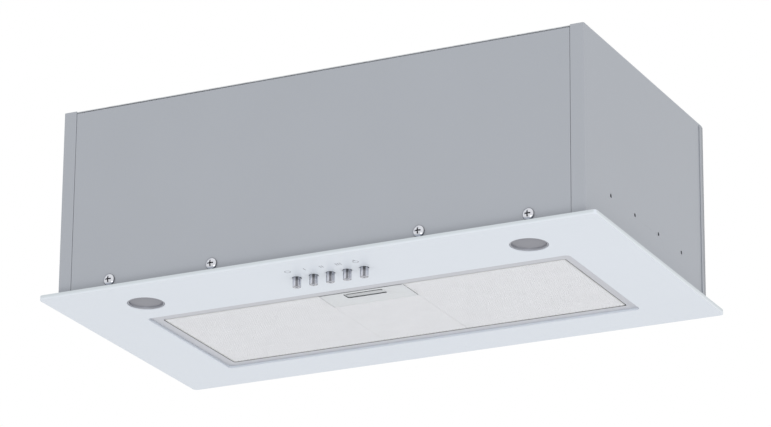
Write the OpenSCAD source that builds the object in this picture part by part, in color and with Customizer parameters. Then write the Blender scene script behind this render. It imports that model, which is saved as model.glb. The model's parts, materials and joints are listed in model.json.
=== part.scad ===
// Under-cabinet range hood: a sheet-steel box with a white glass panel below, an aluminium mesh
// filter on a rear hinge with a sprung front latch, two recessed lamps, five push buttons, and
// a double-inlet centrifugal blower that feeds a round collar with two check flaps on top.
// Frame: X to the right, Y to the back, Z up. Z = 0 is the seating face, the upper face of the
// glass, and X = Y = 0 is the middle of the panel. All sizes are in millimetres.

/* [Panel] */
// Width of the glass panel, left to right
panel_width = 525; // [500:1:620]
// Depth of the glass panel, front to back
panel_depth = 285; // [275:1:345]
// Thickness of the glass
panel_thickness = 4; // [3:0.5:6]
// Radius of the panel's four corners
panel_corner = 4; // [2:0.5:10]
// Thickness of the bonding tape between the glass and the steel frame
bond_thickness = 1; // [0.5:0.1:2]

/* [Body] */
// Width over the side panels
body_width = 498; // [470:1:600]
// Depth over the front and back plates
body_depth = 265; // [255:1:325]
// Height of the side panels above the seating face
body_height = 171; // [168:1:220]
// Sheet-steel thickness of the shell
sheet = 0.8; // [0.6:0.1:1.2]
// Width of each side panel's return on the front face
front_return = 12.5; // [9:0.5:20]
// Width of the back plate's wrap round each side panel
back_wrap = 8; // [5:0.5:14]
// How far the side panels stand above the front plate
plate_step = 1.6; // [1:0.1:4]
// Height of the shell's lower edge above the glass
shell_gap = 0.2; // [0.1:0.1:1]
// Seam between the front plate and the returns beside it
seam = 0.4; // [0.2:0.1:1]
// Width of the folded flanges inside the shell
fold_width = 12; // [8:0.5:18]
// Diameter of the shell rivets
rivet_diameter = 3.2; // [2.4:0.1:4.8]

/* [Side fixing holes] */
// Diameter of each fixing hole
fixing_diameter = 3.5; // [3:0.1:5]
// Pitch of the four holes in each side
fixing_pitch = 52; // [40:0.5:60]
// Height of the holes above the seating face
fixing_height = 35; // [25:0.5:60]

/* [Front screws] */
// Distance from the middle to each outer screw
screw_outer_x = 198; // [150:1:215]
// Distance from the middle to each inner screw
screw_inner_x = 98; // [60:1:120]
// Height of the screws above the seating face
screw_height = 8.5; // [7:0.5:14]
// Thread diameter of the front screws
screw_diameter = 4; // [3:0.5:5]
// Head diameter of the front screws
screw_head = 10.5; // [7:0.5:11]

/* [Filter opening] */
// Width of the cut-out in the glass
cutout_width = 404; // [360:1:420]
// Depth of the cut-out in the glass
cutout_depth = 156.5; // [120:0.5:165]
// Distance from the panel's front edge to the cut-out
cutout_front = 84; // [80:0.5:110]
// Width of the steel lip seen beside and behind the filter
lip_width = 8.5; // [6:0.5:14]
// Width of the steel lip in front of the filter
lip_front_width = 13; // [6:0.5:18]
// How far the lip lies above the glass's lower face
lip_recess = 2; // [0.5:0.1:3]
// Thickness of the steel base frame
frame_thickness = 1; // [0.8:0.1:1.5]
// Height of the base frame's upturned flanges
frame_flange = 16; // [12:0.5:24]
// Corner radius of the lip
lip_corner = 4; // [2:0.5:8]
// Gap between the cut-out in the glass and the lip
cutout_gap = 0.5; // [0.2:0.1:1.5]

/* [Filter] */
// Thickness of the filter cassette
filter_thickness = 9; // [7:0.5:12]
// Gap between the filter and the lip at the sides and front
filter_gap = 0.9; // [0.5:0.1:2]
// Gap between the filter and the lip at the back, where it swings
filter_gap_back = 1.3; // [1:0.1:2.5]
// Thickness of the filter's sheets
filter_sheet = 0.8; // [0.5:0.1:1]
// How far the two rear tabs reach over the lip
tab_reach = 5; // [3:0.5:8]
// Width of each rear tab
tab_width = 22; // [10:1:40]
// Distance from the middle to each rear tab
tab_x = 120; // [60:1:170]

/* [Filter latch] */
// Width of the latch's smooth plate
latch_plate_width = 80; // [50:1:100]
// Depth of the latch's smooth plate
latch_plate_depth = 32; // [26:0.5:40]
// Width of the finger pad
pad_width = 38; // [25:0.5:50]
// Depth of the finger pad
pad_depth = 11.5; // [9:0.5:15]
// Travel of the latch
latch_travel = 5; // [3:0.5:6]
// Clearance in front of the finger pad
pad_gap = 2.4; // [0.4:0.1:3]
// Space left between the drawn tongue and the lip
tongue_gap = 0.3; // [0.2:0.05:1]

/* [Lamps] */
// Distance from the middle to each lamp
lamp_x = 182; // [150:1:200]
// Distance from the panel's front edge to the lamps
lamp_front = 47; // [40:0.5:60]
// Diameter of the lamp's opening in the glass
lamp_diameter = 33; // [28:0.5:46]
// Depth of the lens above the glass's lower face
lamp_recess = 1.2; // [0.6:0.1:8]

/* [Buttons] */
// Diameter of each push button
button_diameter = 7.2; // [5:0.1:10]
// Pitch of the five buttons
button_pitch = 16; // [13:0.5:22]
// How far the buttons stand below the glass
button_stand = 8.5; // [5:0.5:12]
// Travel of each button
button_travel = 3; // [1.5:0.5:5]
// Distance from the panel's front edge to the buttons
button_front = 41.5; // [34:0.5:50]
// Clearance round each button in the glass
button_gap = 0.6; // [0.3:0.1:1]

/* [Blower] */
// Outer diameter of the impeller
wheel_diameter = 104; // [90:1:106]
// Width of the impeller
wheel_width = 72; // [50:1:90]
// Inner diameter of the blade ring
wheel_inner = 80; // [70:1:84]
// Number of blades on each side of the hub disc
blade_count = 32; // [20:1:44]
// Radius of the scroll's first arc
scroll_radius = 60; // [57:0.5:62]
// Growth of the scroll's radius at each quarter turn
scroll_step = 7.5; // [5:0.5:8]
// Wall thickness of the scroll
scroll_wall = 2; // [1.5:0.1:3]
// Gap between the impeller and each cheek
wheel_gap = 6; // [3:0.5:8]
// Diameter of each air inlet
inlet_diameter = 84; // [70:1:88]
// Height of the impeller's axis above the seating face
axis_height = 96; // [94:0.5:110]
// Distance of the impeller's axis in front of the middle
axis_forward = 20; // [10:1:34]
// Diameter of the motor's shaft
shaft_diameter = 8; // [6:0.5:10]
// Outer diameter of the motor
motor_diameter = 62; // [50:1:66]
// Length of the motor's body
motor_length = 42; // [34:1:50]

/* [Outlet collar] */
// Outer diameter of the collar, which the duct slips over
collar_diameter = 118; // [98:1:148]
// Height of the collar above the top plate
collar_height = 48; // [35:1:70]
// Wall thickness of the collar
collar_wall = 2; // [1.5:0.1:3]
// Distance of the collar's axis behind the middle
collar_back = 36; // [20:1:50]

/* [Supply] */
// Diameter of the supply cable that the gland takes
cable_diameter = 7; // [6:0.5:9]
// Length of the terminal box
box_length = 64; // [50:1:80]

/* [Hidden] */
$fn = 64;
cut = 0.5;            // how far a cutting tool passes the surface that it cuts
fit = 0.1;            // clearance of fixed parts that are placed side by side
slip = 0.05;          // radial running clearance of the shaft and pins
hx = body_width / 2;
hy = body_depth / 2;
glass_low = -panel_thickness;
front_top = body_height - plate_step;
in_x = hx - sheet;
in_y = hy - sheet;
front_half = hx - front_return - seam;
frame_low = bond_thickness;
frame_top = frame_low + frame_thickness;
co_front = -panel_depth / 2 + cutout_front;
co_mid = co_front + cutout_depth / 2;
lip_low = glass_low + lip_recess;
lip_top = lip_low + frame_thickness;
lip_half = cutout_width / 2 - cutout_gap;
lip_front = co_front + cutout_gap;
lip_back = co_front + cutout_depth - cutout_gap;
open_half = lip_half - lip_width;
open_front = lip_front + lip_front_width;
open_back = lip_back - lip_width;
filter_half = open_half - filter_gap;
filter_front = open_front + filter_gap;
filter_back = open_back - filter_gap_back;
filter_top = lip_low + filter_thickness;
stop_gap = 0.3;       // space between the filter and the stops above it
lamp_y = -panel_depth / 2 + lamp_front;
button_y = -panel_depth / 2 + button_front;
latch_half = latch_plate_width / 2;
latch_back = filter_front + latch_plate_depth;
pad_front = filter_front + 4;
pad_x = pad_width / 2;
pad_back = pad_front + pad_depth;
axis_y = -axis_forward;
scroll_in = wheel_width / 2 + wheel_gap;
scroll_out = scroll_in + scroll_wall;
shaft_r = shaft_diameter / 2;
disc_half = 1.5;      // half the thickness of the hub disc
collar_r = collar_diameter / 2;
collar_in = collar_r - collar_wall;
top_face = front_top + sheet;
deck = top_face + scroll_wall;      // upper face of the collar's foot
mouth_x = scroll_in;
mouth_front = axis_y + scroll_step / 2 + scroll_radius * 0.36;
mouth_back = axis_y + scroll_step / 2 + scroll_radius + 3 * scroll_step;
flap_z = deck + 14;   // height of the flap pin
flap_pin_r = 2;
flap_t = 1.2;
flap_r = collar_in - 0.8;
knuckle_r = flap_pin_r + slip + 1.2;
knuckle_n = 6;        // knuckles of both flaps together
motor_r = motor_diameter / 2;
motor_x1 = -disc_half - 9;          // end of the motor nearest the hub disc
motor_x0 = motor_x1 - motor_length;
motor_lead = 14;      // height of the motor's lead above the motor's axis
wire_r = 1.6;
box_x = -hx + 70;     // middle of the terminal box
box_y = hy - 44;
box_depth = 40;
box_height = 26;
switch_low = frame_top;
switch_top = switch_low + 24;
switch_half_x = 2 * button_pitch + 9;
switch_half_y = 8;
key_collar_r = button_diameter / 2 + 1.6;

// ---- helpers ----

// A box from its two opposite corners.
module span(x0, x1, y0, y1, z0, z1) {
  translate([x0, y0, z0]) cube([x1 - x0, y1 - y0, z1 - z0]);
}

// A rectangle with round corners, from its sides.
module round_rect(x0, x1, y0, y1, r) {
  translate([x0 + r, y0]) square([x1 - x0 - 2 * r, y1 - y0]);
  translate([x0, y0 + r]) square([x1 - x0, y1 - y0 - 2 * r]);
  for (x = [x0 + r, x1 - r], y = [y0 + r, y1 - r]) translate([x, y]) circle(r);
}

// A slab with round corners.
module round_slab(x0, x1, y0, y1, r, z0, z1) {
  translate([0, 0, z0]) linear_extrude(z1 - z0) round_rect(x0, x1, y0, y1, r);
}

// Upright round bar.
module rod_z(r, x, y, z0, z1) {
  translate([x, y, z0]) cylinder(r = r, h = z1 - z0);
}

// Round bar along X.
module rod_x(r, x0, x1, y, z) {
  translate([x0, y, z]) rotate([0, 90, 0]) cylinder(r = r, h = x1 - x0);
}

// Round bar along Y.
module rod_y(r, x, y0, y1, z) {
  translate([x, y0, z]) rotate([-90, 0, 0]) cylinder(r = r, h = y1 - y0);
}

// Pan-head screw: the head is below z = 0 and the shank points up.
module pan_screw(d, length, head) {
  dome = head * 0.72;
  rise = head * 0.3;
  cylinder(r = d / 2, h = length);
  difference() {
    intersection() {
      translate([0, 0, dome - rise]) sphere(dome);
      translate([0, 0, -rise]) cylinder(r = head / 2, h = rise);
    }
    for (a = [0, 90]) rotate(a) {
      translate([-head * 0.27, -head * 0.06, -rise - cut]) {
        cube([head * 0.54, head * 0.12, rise * 0.55 + cut]);
      }
    }
  }
}

// Copies its children on the left and right.
module both_sides(x) {
  for (s = [-1, 1]) translate([s * x, 0, 0]) children();
}

// ---- glass panel and steel frame ----

// The places of the five buttons.
module at_buttons() {
  for (k = [-2 : 2]) translate([k * button_pitch, button_y, 0]) children();
}

module glass_panel() {
  color("white") difference() {
    round_slab(-panel_width / 2, panel_width / 2, -panel_depth / 2, panel_depth / 2,
      panel_corner, glass_low, 0);
    round_slab(-cutout_width / 2, cutout_width / 2, co_front, co_front + cutout_depth,
      lip_corner + cutout_gap, glass_low - cut, cut);
    both_sides(lamp_x) rod_z(lamp_diameter / 2, 0, lamp_y, glass_low - cut, cut);
    at_buttons() rod_z(button_diameter / 2 + button_gap, 0, 0, glass_low - cut, cut);
  }
}

tape_inset = 3;       // the tape's distance from the shell and from the cut-out
module glass_bond() {
  color("dimgray") difference() {
    span(-in_x + tape_inset, in_x - tape_inset, -in_y + tape_inset, in_y - tape_inset, 0,
      frame_low);
    span(-cutout_width / 2 - tape_inset, cutout_width / 2 + tape_inset, co_front - tape_inset,
      co_front + cutout_depth + tape_inset, -cut, frame_low + cut);
    both_sides(lamp_x) rod_z(lamp_diameter / 2 + tape_inset, 0, lamp_y, -cut, frame_low + cut);
    span(-switch_half_x, switch_half_x, button_y - switch_half_y, button_y + switch_half_y,
      -cut, frame_low + cut);
  }
}

stop_reach = 5;       // how far the stops reach over the filter
stop_width = 14;      // width of each filter stop
// The places of the eight shell screws, pointing inwards.
module at_panel_screws() {
  for (x = [-screw_outer_x, -screw_inner_x, screw_inner_x, screw_outer_x]) {
    translate([x, -hy, screw_height]) rotate([-90, 0, 0]) children();
    translate([x, hy, screw_height]) rotate([90, 0, 0]) children();
  }
}

// A bent strip from the lip up and over the filter's edge, drawn on the right.
module filter_stop() {
  z = filter_top + stop_gap;
  span(lip_half - frame_thickness, lip_half, -stop_width / 2, stop_width / 2, frame_low, z);
  span(filter_half - stop_reach, lip_half, -stop_width / 2, stop_width / 2, z,
    z + frame_thickness);
}

module base_frame() {
  fx = in_x - fit;
  color("silver") difference() {
    union() {
      difference() {
        span(-fx, fx, -in_y, in_y, frame_low, frame_top);
        round_slab(-lip_half, lip_half, lip_front, lip_back, lip_corner, frame_low - cut,
          frame_top + cut);
      }
      difference() {
        round_slab(-lip_half, lip_half, lip_front, lip_back, lip_corner, lip_low, frame_top);
        round_slab(-lip_half + frame_thickness, lip_half - frame_thickness,
          lip_front + frame_thickness, lip_back - frame_thickness,
          lip_corner - frame_thickness, lip_top, frame_top + cut);
        round_slab(-open_half, open_half, open_front, open_back, lip_corner / 2,
          lip_low - cut, lip_top + cut);
      }
      for (s = [-1, 1]) {
        span(min(s * fx, s * (fx - frame_thickness)), max(s * fx, s * (fx - frame_thickness)),
          -in_y, in_y, frame_low, frame_low + frame_flange);
      }
      span(-fx, fx, -in_y, -in_y + frame_thickness, frame_low, frame_low + frame_flange);
      span(-fx, fx, in_y - frame_thickness, in_y, frame_low, frame_low + frame_flange);
      for (y = [co_mid - cutout_depth / 4, co_mid + cutout_depth / 4], s = [0, 1]) {
        mirror([s, 0, 0]) translate([0, y, 0]) filter_stop();
      }
    }
    at_panel_screws() cylinder(r = screw_diameter / 2 + fit, h = 4);
    both_sides(lamp_x) rod_z(lamp_diameter / 2, 0, lamp_y, frame_low - cut, frame_top + cut);
    at_buttons() rod_z(button_diameter / 2 + button_gap, 0, 0, frame_low - cut,
      frame_top + cut);
    both_sides(ear_x) rod_z(ear_screw / 2 + fit, 0, button_y, frame_low - cut, frame_top + cut);
  }
}

// ---- shell ----

// One side panel, drawn on the right.
module side_panel() {
  difference() {
    union() {
      span(in_x, hx, -hy, hy - sheet, shell_gap, body_height);
      span(hx - front_return, hx, -hy, -hy + sheet, shell_gap, body_height);
    }
    for (k = [-1.5 : 1.5]) {
      rod_x(fixing_diameter / 2, in_x - cut, hx + cut, k * fixing_pitch, fixing_height);
    }
  }
}

module side_panel_left() {
  color("lightsteelblue") mirror([1, 0, 0]) side_panel();
}

module side_panel_right() {
  color("lightsteelblue") side_panel();
}

rivet_n = 4;          // rivets along the front flange, and as many along the back
rivet_span = body_width - 110;
module at_shell_rivets() {
  for (k = [0 : rivet_n - 1], s = [-1, 1]) {
    translate([-rivet_span / 2 + k * rivet_span / (rivet_n - 1), s * (in_y - fold_width / 2),
      top_face]) children();
  }
}

lap = 9;              // how far the front plate's edge strips lie behind it
module front_plate() {
  color("lightsteelblue") difference() {
    union() {
      span(-front_half, front_half, -hy, -in_y, shell_gap, front_top);
      for (s = [0, 1]) mirror([s, 0, 0]) {
        span(front_half - lap, in_x - fit, -in_y, -in_y + sheet,
          frame_low + frame_flange + 2, front_top - 2 * sheet);
      }
      span(-front_half, front_half, -hy, -in_y + fold_width, front_top - sheet, front_top);
    }
    at_panel_screws() translate([0, 0, -cut]) cylinder(r = screw_diameter / 2 + fit, h = 4);
    at_shell_rivets() rod_z(rivet_diameter / 2, 0, 0, -sheet * 3, cut);
  }
}

module back_plate() {
  color("lightsteelblue") difference() {
    union() {
      span(-hx - sheet, hx + sheet, in_y, hy, shell_gap, front_top);
      for (s = [0, 1]) mirror([s, 0, 0]) {
        span(hx, hx + sheet, hy - back_wrap, hy, shell_gap, front_top);
      }
      span(-in_x + fit, in_x - fit, in_y - fold_width, hy, front_top - sheet, front_top);
    }
    at_panel_screws() translate([0, 0, -cut]) cylinder(r = screw_diameter / 2 + fit, h = 4);
    at_shell_rivets() rod_z(rivet_diameter / 2, 0, 0, -sheet * 3, cut);
  }
}

module at_collar_screws() {
  for (x = [-foot_hole, foot_hole], y = [mouth_front - mouth_tab / 2 - scroll_wall,
      mouth_back + mouth_tab / 2 + scroll_wall]) {
    translate([x, y, 0]) children();
  }
}

module top_plate() {
  tx = in_x - fit;
  color("lightgray") difference() {
    union() {
      span(-tx, tx, -in_y + fit, hy, front_top, top_face);
      span(-front_half, front_half, -hy, hy, front_top, top_face);
      for (s = [0, 1]) mirror([s, 0, 0]) {
        span(tx - sheet, tx, -in_y + fold_width + 1, in_y - fold_width - 1,
          front_top - fold_width, top_face);
      }
    }
    span(-mouth_x, mouth_x, mouth_front, mouth_back, front_top - cut, top_face + cut);
    at_collar_screws() rod_z(fixing_screw / 2 + fit, 0, 0, front_top - cut, top_face + cut);
    at_shell_rivets() rod_z(rivet_diameter / 2, 0, 0, -sheet * 3, cut);
    rod_z(gland_r + fit, box_x, box_y, front_top - cut, top_face + cut);
    clip_hole();
  }
}

module panel_screws() {
  color("silver") at_panel_screws() {
    pan_screw(screw_diameter, 8, screw_head);
  }
}

module shell_rivets() {
  head = rivet_diameter * 0.9;
  color("gainsboro") at_shell_rivets() {
    rod_z(rivet_diameter / 2, 0, 0, -sheet * 2 - 1.2, 0);
    cylinder(r = head, h = 0.9);
    rod_z(head * 0.8, 0, 0, -sheet * 2 - 1.4, -sheet * 2);
  }
}

// ---- outlet ----

mouth_tab = 11;       // depth of the blower mouth's fixing tabs
foot_hole = 30;       // distance from the middle to each collar screw
fixing_screw = 4;     // thread of the inner screws
foot_edge = 8;        // how far the collar's foot passes the collar
ledge = 2.5;          // width of the ledge below the flaps

module outlet_collar() {
  fy0 = min(collar_back - collar_r, mouth_front - mouth_tab - scroll_wall) - foot_edge / 2;
  fy1 = max(collar_back + collar_r, mouth_back + mouth_tab + scroll_wall) + foot_edge / 2;
  color("slategray") difference() {
    union() {
      round_slab(-collar_r - foot_edge, collar_r + foot_edge, fy0, fy1, foot_edge, top_face,
        deck);
      rod_z(collar_r, 0, collar_back, top_face, top_face + collar_height);
    }
    span(-mouth_x, mouth_x, mouth_front, mouth_back, top_face - cut, deck + cut);
    rod_z(collar_in - ledge, 0, collar_back, deck, flap_z);
    rod_z(collar_in, 0, collar_back, flap_z - flap_t / 2 - fit, top_face + collar_height + cut);
    rod_y(flap_pin_r, 0, collar_back - collar_r - cut, collar_back + collar_r + cut, flap_z);
    at_collar_screws() rod_z(fixing_screw / 2 + fit, 0, 0, top_face - cut, deck + cut);
  }
}

module collar_screws() {
  color("silver") at_collar_screws() {
    translate([0, 0, deck]) mirror([0, 0, 1]) pan_screw(fixing_screw, 10, 8);
  }
}

module flap_pin() {
  color("silver") {
    rod_y(flap_pin_r, 0, collar_back - collar_r + fit, collar_back + collar_r - fit, flap_z);
  }
}

// One half flap, drawn on the right, with the knuckles of the given parity.
module flap(parity) {
  pitch = 2 * (flap_r - 8) / knuckle_n;
  difference() {
    union() {
      intersection() {
        rod_z(flap_r, 0, collar_back, flap_z - flap_t / 2, flap_z + flap_t / 2);
        span(knuckle_r + 0.5, flap_r, collar_back - flap_r, collar_back + flap_r,
          flap_z - flap_t, flap_z + flap_t);
      }
      for (k = [0 : knuckle_n - 1]) if (k % 2 == parity) {
        y0 = collar_back - (flap_r - 8) + k * pitch + 0.4;
        y1 = y0 + pitch - 0.8;
        rod_y(knuckle_r, 0, y0, y1, flap_z);
        span(0, knuckle_r + 1, y0, y1, flap_z - flap_t / 2, flap_z + flap_t / 2);
      }
    }
    rod_y(flap_pin_r + slip, 0, collar_back - flap_r, collar_back + flap_r, flap_z);
  }
}

module flap_left() {
  color("darkgray") mirror([1, 0, 0]) flap(0);
}

module flap_right() {
  color("darkgray") flap(1);
}

// ---- blower ----

// Puts a profile drawn as (back, up) from the impeller's axis between two values of X.
module across(x0, x1) {
  translate([x0, axis_y, axis_height]) rotate([90, 0, 90]) linear_extrude(x1 - x0) children();
}

// The scroll's outline, a four-centre spiral, grown by g.
module spiral(g) {
  h = scroll_step / 2;
  far = scroll_radius * 3;
  square(2 * h, center = true);
  intersection() {
    translate([-h, h]) circle(scroll_radius + g);
    translate([-h, h]) square(far);
  }
  intersection() {
    translate([-h, -h]) circle(scroll_radius + g + scroll_step);
    translate([-h - far, -h]) square(far);
  }
  intersection() {
    translate([h, -h]) circle(scroll_radius + g + 2 * scroll_step);
    translate([h - far, -h - far]) square(far);
  }
  intersection() {
    translate([h, h]) circle(scroll_radius + g + 3 * scroll_step);
    translate([h, h - far]) square(far);
  }
}

// The scroll's outline with its mouth up to the height v, grown by g.
module scroll_outline(g, v) {
  spiral(g);
  translate([mouth_front - axis_y - g, scroll_step / 2]) {
    square([mouth_back - mouth_front + 2 * g, v - scroll_step / 2]);
  }
}

boss_r = 5;
// The places of the scroll's four screw bosses, at their own distance outside the wall.
module at_bosses() {
  h = scroll_step / 2;
  out = scroll_wall + 3;
  translate([-h, -h]) rotate(135) translate([scroll_radius + scroll_step + out, 0]) children();
  translate([h, -h]) rotate(225) translate([scroll_radius + 2 * scroll_step + out, 0]) children();
  translate([h, h]) rotate(315) translate([scroll_radius + 3 * scroll_step + out, 0]) children();
  translate([mouth_back - axis_y + out, scroll_radius * 0.6]) children();
}

module scroll_wrapper() {
  v = front_top - axis_height;
  color("gray") difference() {
    union() {
      across(-scroll_in, scroll_in) {
        scroll_outline(scroll_wall, v);
        at_bosses() circle(boss_r);
      }
      span(-scroll_in, scroll_in, mouth_front - mouth_tab - scroll_wall,
        mouth_back + mouth_tab + scroll_wall, front_top - scroll_wall * 1.5, front_top);
    }
    across(-scroll_in - cut, scroll_in + cut) scroll_outline(0, v + cut);
    across(-scroll_in - cut, scroll_in + cut) at_bosses() circle(pilot_r);
    at_collar_screws() rod_z(pilot_r, 0, 0, front_top - 5, front_top + cut);
  }
}

pilot_r = fixing_screw / 2;
lip_out = 5;          // how far the inlet's rim stands out of the cheek
motor_screw_r = 54;   // radius of the motor bracket's three screws
// One cheek of the scroll between its inner face and its outer face, drawn on the right.
module cheek(motor_side) {
  v = front_top - axis_height;
  difference() {
    union() {
      across(scroll_in, scroll_out) {
        scroll_outline(scroll_wall, v);
        at_bosses() circle(boss_r);
      }
      rod_x(inlet_diameter / 2 + scroll_wall, scroll_in, scroll_out + lip_out, axis_y,
        axis_height);
    }
    rod_x(inlet_diameter / 2, scroll_in - cut, scroll_out + lip_out + cut, axis_y, axis_height);
    across(scroll_in - cut, scroll_out + cut) at_bosses() circle(pilot_r + fit);
    if (motor_side) across(scroll_in - cut, scroll_out + cut) {
      for (a = [90, 210, 330]) rotate(a) translate([motor_screw_r, 0]) circle(pilot_r);
    }
  }
}

module scroll_cheek_left() {
  color("dimgray") mirror([1, 0, 0]) cheek(true);
}

module scroll_cheek_right() {
  color("dimgray") cheek(false);
}

grommet = 3;          // thickness of the rubber between the bracket and the cheek
foot_t = 2;           // thickness of the bracket's steel
module blower_screws() {
  color("silver") {
    for (s = [0, 1]) mirror([s, 0, 0]) {
      translate([scroll_out, axis_y, axis_height]) rotate([90, 0, 90]) at_bosses() {
        mirror([0, 0, 1]) pan_screw(fixing_screw, 12, 8);
      }
    }
    for (a = [90, 210, 330]) {
      translate([-scroll_out - grommet - foot_t, axis_y, axis_height]) rotate([90, 0, 90]) {
        rotate(a) translate([motor_screw_r, 0, 0]) pan_screw(fixing_screw, 9, 8);
      }
    }
  }
}

hub_r = 11;
blade_t = 1.2;
ring_w = 3;           // width of the rings that hold the blades' ends
module impeller() {
  r = wheel_diameter / 2;
  w = wheel_width / 2;
  ri = wheel_inner / 2;
  color("whitesmoke") difference() {
    union() {
      rod_x(r, -disc_half, disc_half, axis_y, axis_height);
      rod_x(hub_r, -disc_half - 7, disc_half + 7, axis_y, axis_height);
      for (s = [-1, 1]) difference() {
        rod_x(r, s * (w - ring_w / 2) - ring_w / 2, s * (w - ring_w / 2) + ring_w / 2, axis_y,
          axis_height);
        rod_x(r - 3, -w - cut, w + cut, axis_y, axis_height);
      }
      across(-w, w) intersection() {
        difference() {
          circle(r - 0.5);
          circle(ri);
        }
        for (k = [0 : blade_count - 1]) rotate(k * 360 / blade_count) {
          translate([ri - 1, 0]) rotate(-24) square([r, blade_t]);
        }
      }
    }
    rod_x(shaft_r + slip, -w, w, axis_y, axis_height);
  }
}

module motor_shaft() {
  color("silver") {
    rod_x(shaft_r, motor_x0 - 6, disc_half + 7 + 9, axis_y, axis_height);
  }
}

module impeller_nut() {
  color("silver") difference() {
    translate([disc_half + 7 + fit, axis_y, axis_height]) rotate([0, 90, 0]) {
      cylinder(r = shaft_r * 1.85, h = 6, $fn = 6);
    }
    rod_x(shaft_r + slip, 0, 40, axis_y, axis_height);
  }
}

module motor_can() {
  cap_r = motor_r - 4;
  color("gray") difference() {
    union() {
      rod_x(motor_r, motor_x0 + 8, motor_x1 - 8, axis_y, axis_height);
      rod_x(cap_r, motor_x0 + 2, motor_x1 - 2, axis_y, axis_height);
      rod_x(shaft_r + 5, motor_x0, motor_x1, axis_y, axis_height);
    }
    rod_x(shaft_r + slip, motor_x0 - cut, motor_x1 + cut, axis_y, axis_height);
    across(motor_x0 + 1, motor_x0 + 6) for (a = [30 : 60 : 330]) rotate(a) {
      translate([shaft_r + 8, -2]) square([9, 4]);
    }
  }
}

module motor_bracket() {
  arm = 12;
  foot_x = -scroll_out - grommet;
  color("silver") difference() {
    union() {
      across(motor_x0 - foot_t + 2, motor_x0 + 2) difference() {
        union() {
          circle(motor_r - 8);
          for (a = [90, 210, 330]) rotate(a) translate([0, -arm / 2]) {
            square([motor_screw_r - 6, arm]);
          }
        }
        circle(shaft_r + 5.2);
      }
      across(motor_x0 - foot_t + 2, foot_x) for (a = [90, 210, 330]) rotate(a) {
        translate([motor_screw_r - 6 - foot_t, -arm / 2]) square([foot_t, arm]);
      }
      across(foot_x - foot_t, foot_x) for (a = [90, 210, 330]) rotate(a) {
        translate([motor_screw_r - 6 - foot_t, -arm / 2]) square([arm + foot_t, arm]);
      }
    }
    across(foot_x - foot_t - cut, foot_x + cut) for (a = [90, 210, 330]) rotate(a) {
      translate([motor_screw_r, 0]) circle(pilot_r + fit);
    }
    rod_x(wire_r + 1, motor_x0 - foot_t, motor_x0 + 3, axis_y, axis_height + motor_lead);
  }
}

module motor_grommets() {
  color("darkslategray") across(-scroll_out - grommet, -scroll_out) difference() {
    for (a = [90, 210, 330]) rotate(a) translate([motor_screw_r, 0]) circle(5);
    for (a = [90, 210, 330]) rotate(a) translate([motor_screw_r, 0]) circle(pilot_r + fit);
  }
}

// ---- electrical pieces ----

cap_r = 15;           // radius of the run capacitor
cap_len = 46;
cap_x = 120;          // middle of the run capacitor
cap_y = -64;
cap_z = front_top - cap_r - 4;
clip_w = 12;
module clip_hole() {
  rod_z(pilot_r, cap_x, cap_y, front_top - cut, top_face + cut);
}

module run_capacitor() {
  color("lightgray") {
    rod_x(cap_r, cap_x - cap_len / 2, cap_x + cap_len / 2, cap_y, cap_z);
    rod_x(cap_r * 0.7, cap_x + cap_len / 2, cap_x + cap_len / 2 + 2, cap_y, cap_z);
    for (s = [-1, 1]) {
      span(cap_x + cap_len / 2 + 2, cap_x + cap_len / 2 + 10, cap_y + s * 5 - 0.4,
        cap_y + s * 5 + 0.4, cap_z - 3, cap_z + 3);
    }
  }
}

module capacitor_clip() {
  color("silver") difference() {
    union() {
      rod_x(cap_r + 1.2 + fit, cap_x - clip_w / 2, cap_x + clip_w / 2, cap_y, cap_z);
      span(cap_x - clip_w / 2, cap_x + clip_w / 2, cap_y - 7, cap_y + 7, cap_z + cap_r - 1,
        front_top);
      rod_z(pilot_r - fit, cap_x, cap_y, front_top - 1, top_face + 1);
    }
    rod_x(cap_r + fit, cap_x - clip_w, cap_x + clip_w, cap_y, cap_z);
  }
}

gland_r = 6.5;        // radius of the gland's thread
gland_hex = 10;       // radius of the gland's hexagon over its corners
box_wall = 2;
box_low = front_top - box_height;
module box_outline(z0, z1, inset) {
  span(box_x - box_length / 2 + inset, box_x + box_length / 2 - inset,
    box_y - box_depth / 2 + inset, box_y + box_depth / 2 - inset, z0, z1);
}

module at_lid_screws() {
  for (s = [-1, 1]) {
    translate([box_x + s * (box_length / 2 - 6), box_y + s * (box_depth / 2 - 6), 0]) children();
  }
}

lid_boss_r = 4.6;

module terminal_box() {
  color("ivory") difference() {
    union() {
      difference() {
        box_outline(box_low, front_top, 0);
        box_outline(box_low - cut, front_top - box_wall, box_wall);
      }
      at_lid_screws() rod_z(lid_boss_r, 0, 0, box_low, front_top - box_wall);
    }
    at_lid_screws() rod_z(1.5, 0, 0, box_low - cut, box_low + 10);
    rod_z(gland_r + fit, box_x, box_y, front_top - box_wall - cut, front_top + cut);
    rod_x(3, box_x - box_length / 2 - cut, box_x - box_length / 2 + box_wall + cut, box_y,
      box_low + 8);
  }
}

module terminal_lid() {
  color("ivory") difference() {
    box_outline(box_low - box_wall, box_low, 0);
    at_lid_screws() rod_z(1.5 + fit, 0, 0, box_low - box_wall - cut, box_low + cut);
  }
}

module lid_screws() {
  color("silver") at_lid_screws() translate([0, 0, box_low - box_wall]) pan_screw(3, 9, 6);
}

module terminal_block() {
  way = 9;
  color("beige") difference() {
    span(box_x + 10, box_x + 26, box_y - 1.5 * way - 2, box_y + 1.5 * way - 8,
      front_top - box_wall - 12, front_top - box_wall);
    for (k = [-1 : 1]) {
      rod_x(2, box_x + 10 - cut, box_x + 26 + cut, box_y - 5 + k * way * 0.8,
        front_top - box_wall - 6);
    }
  }
}

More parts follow.
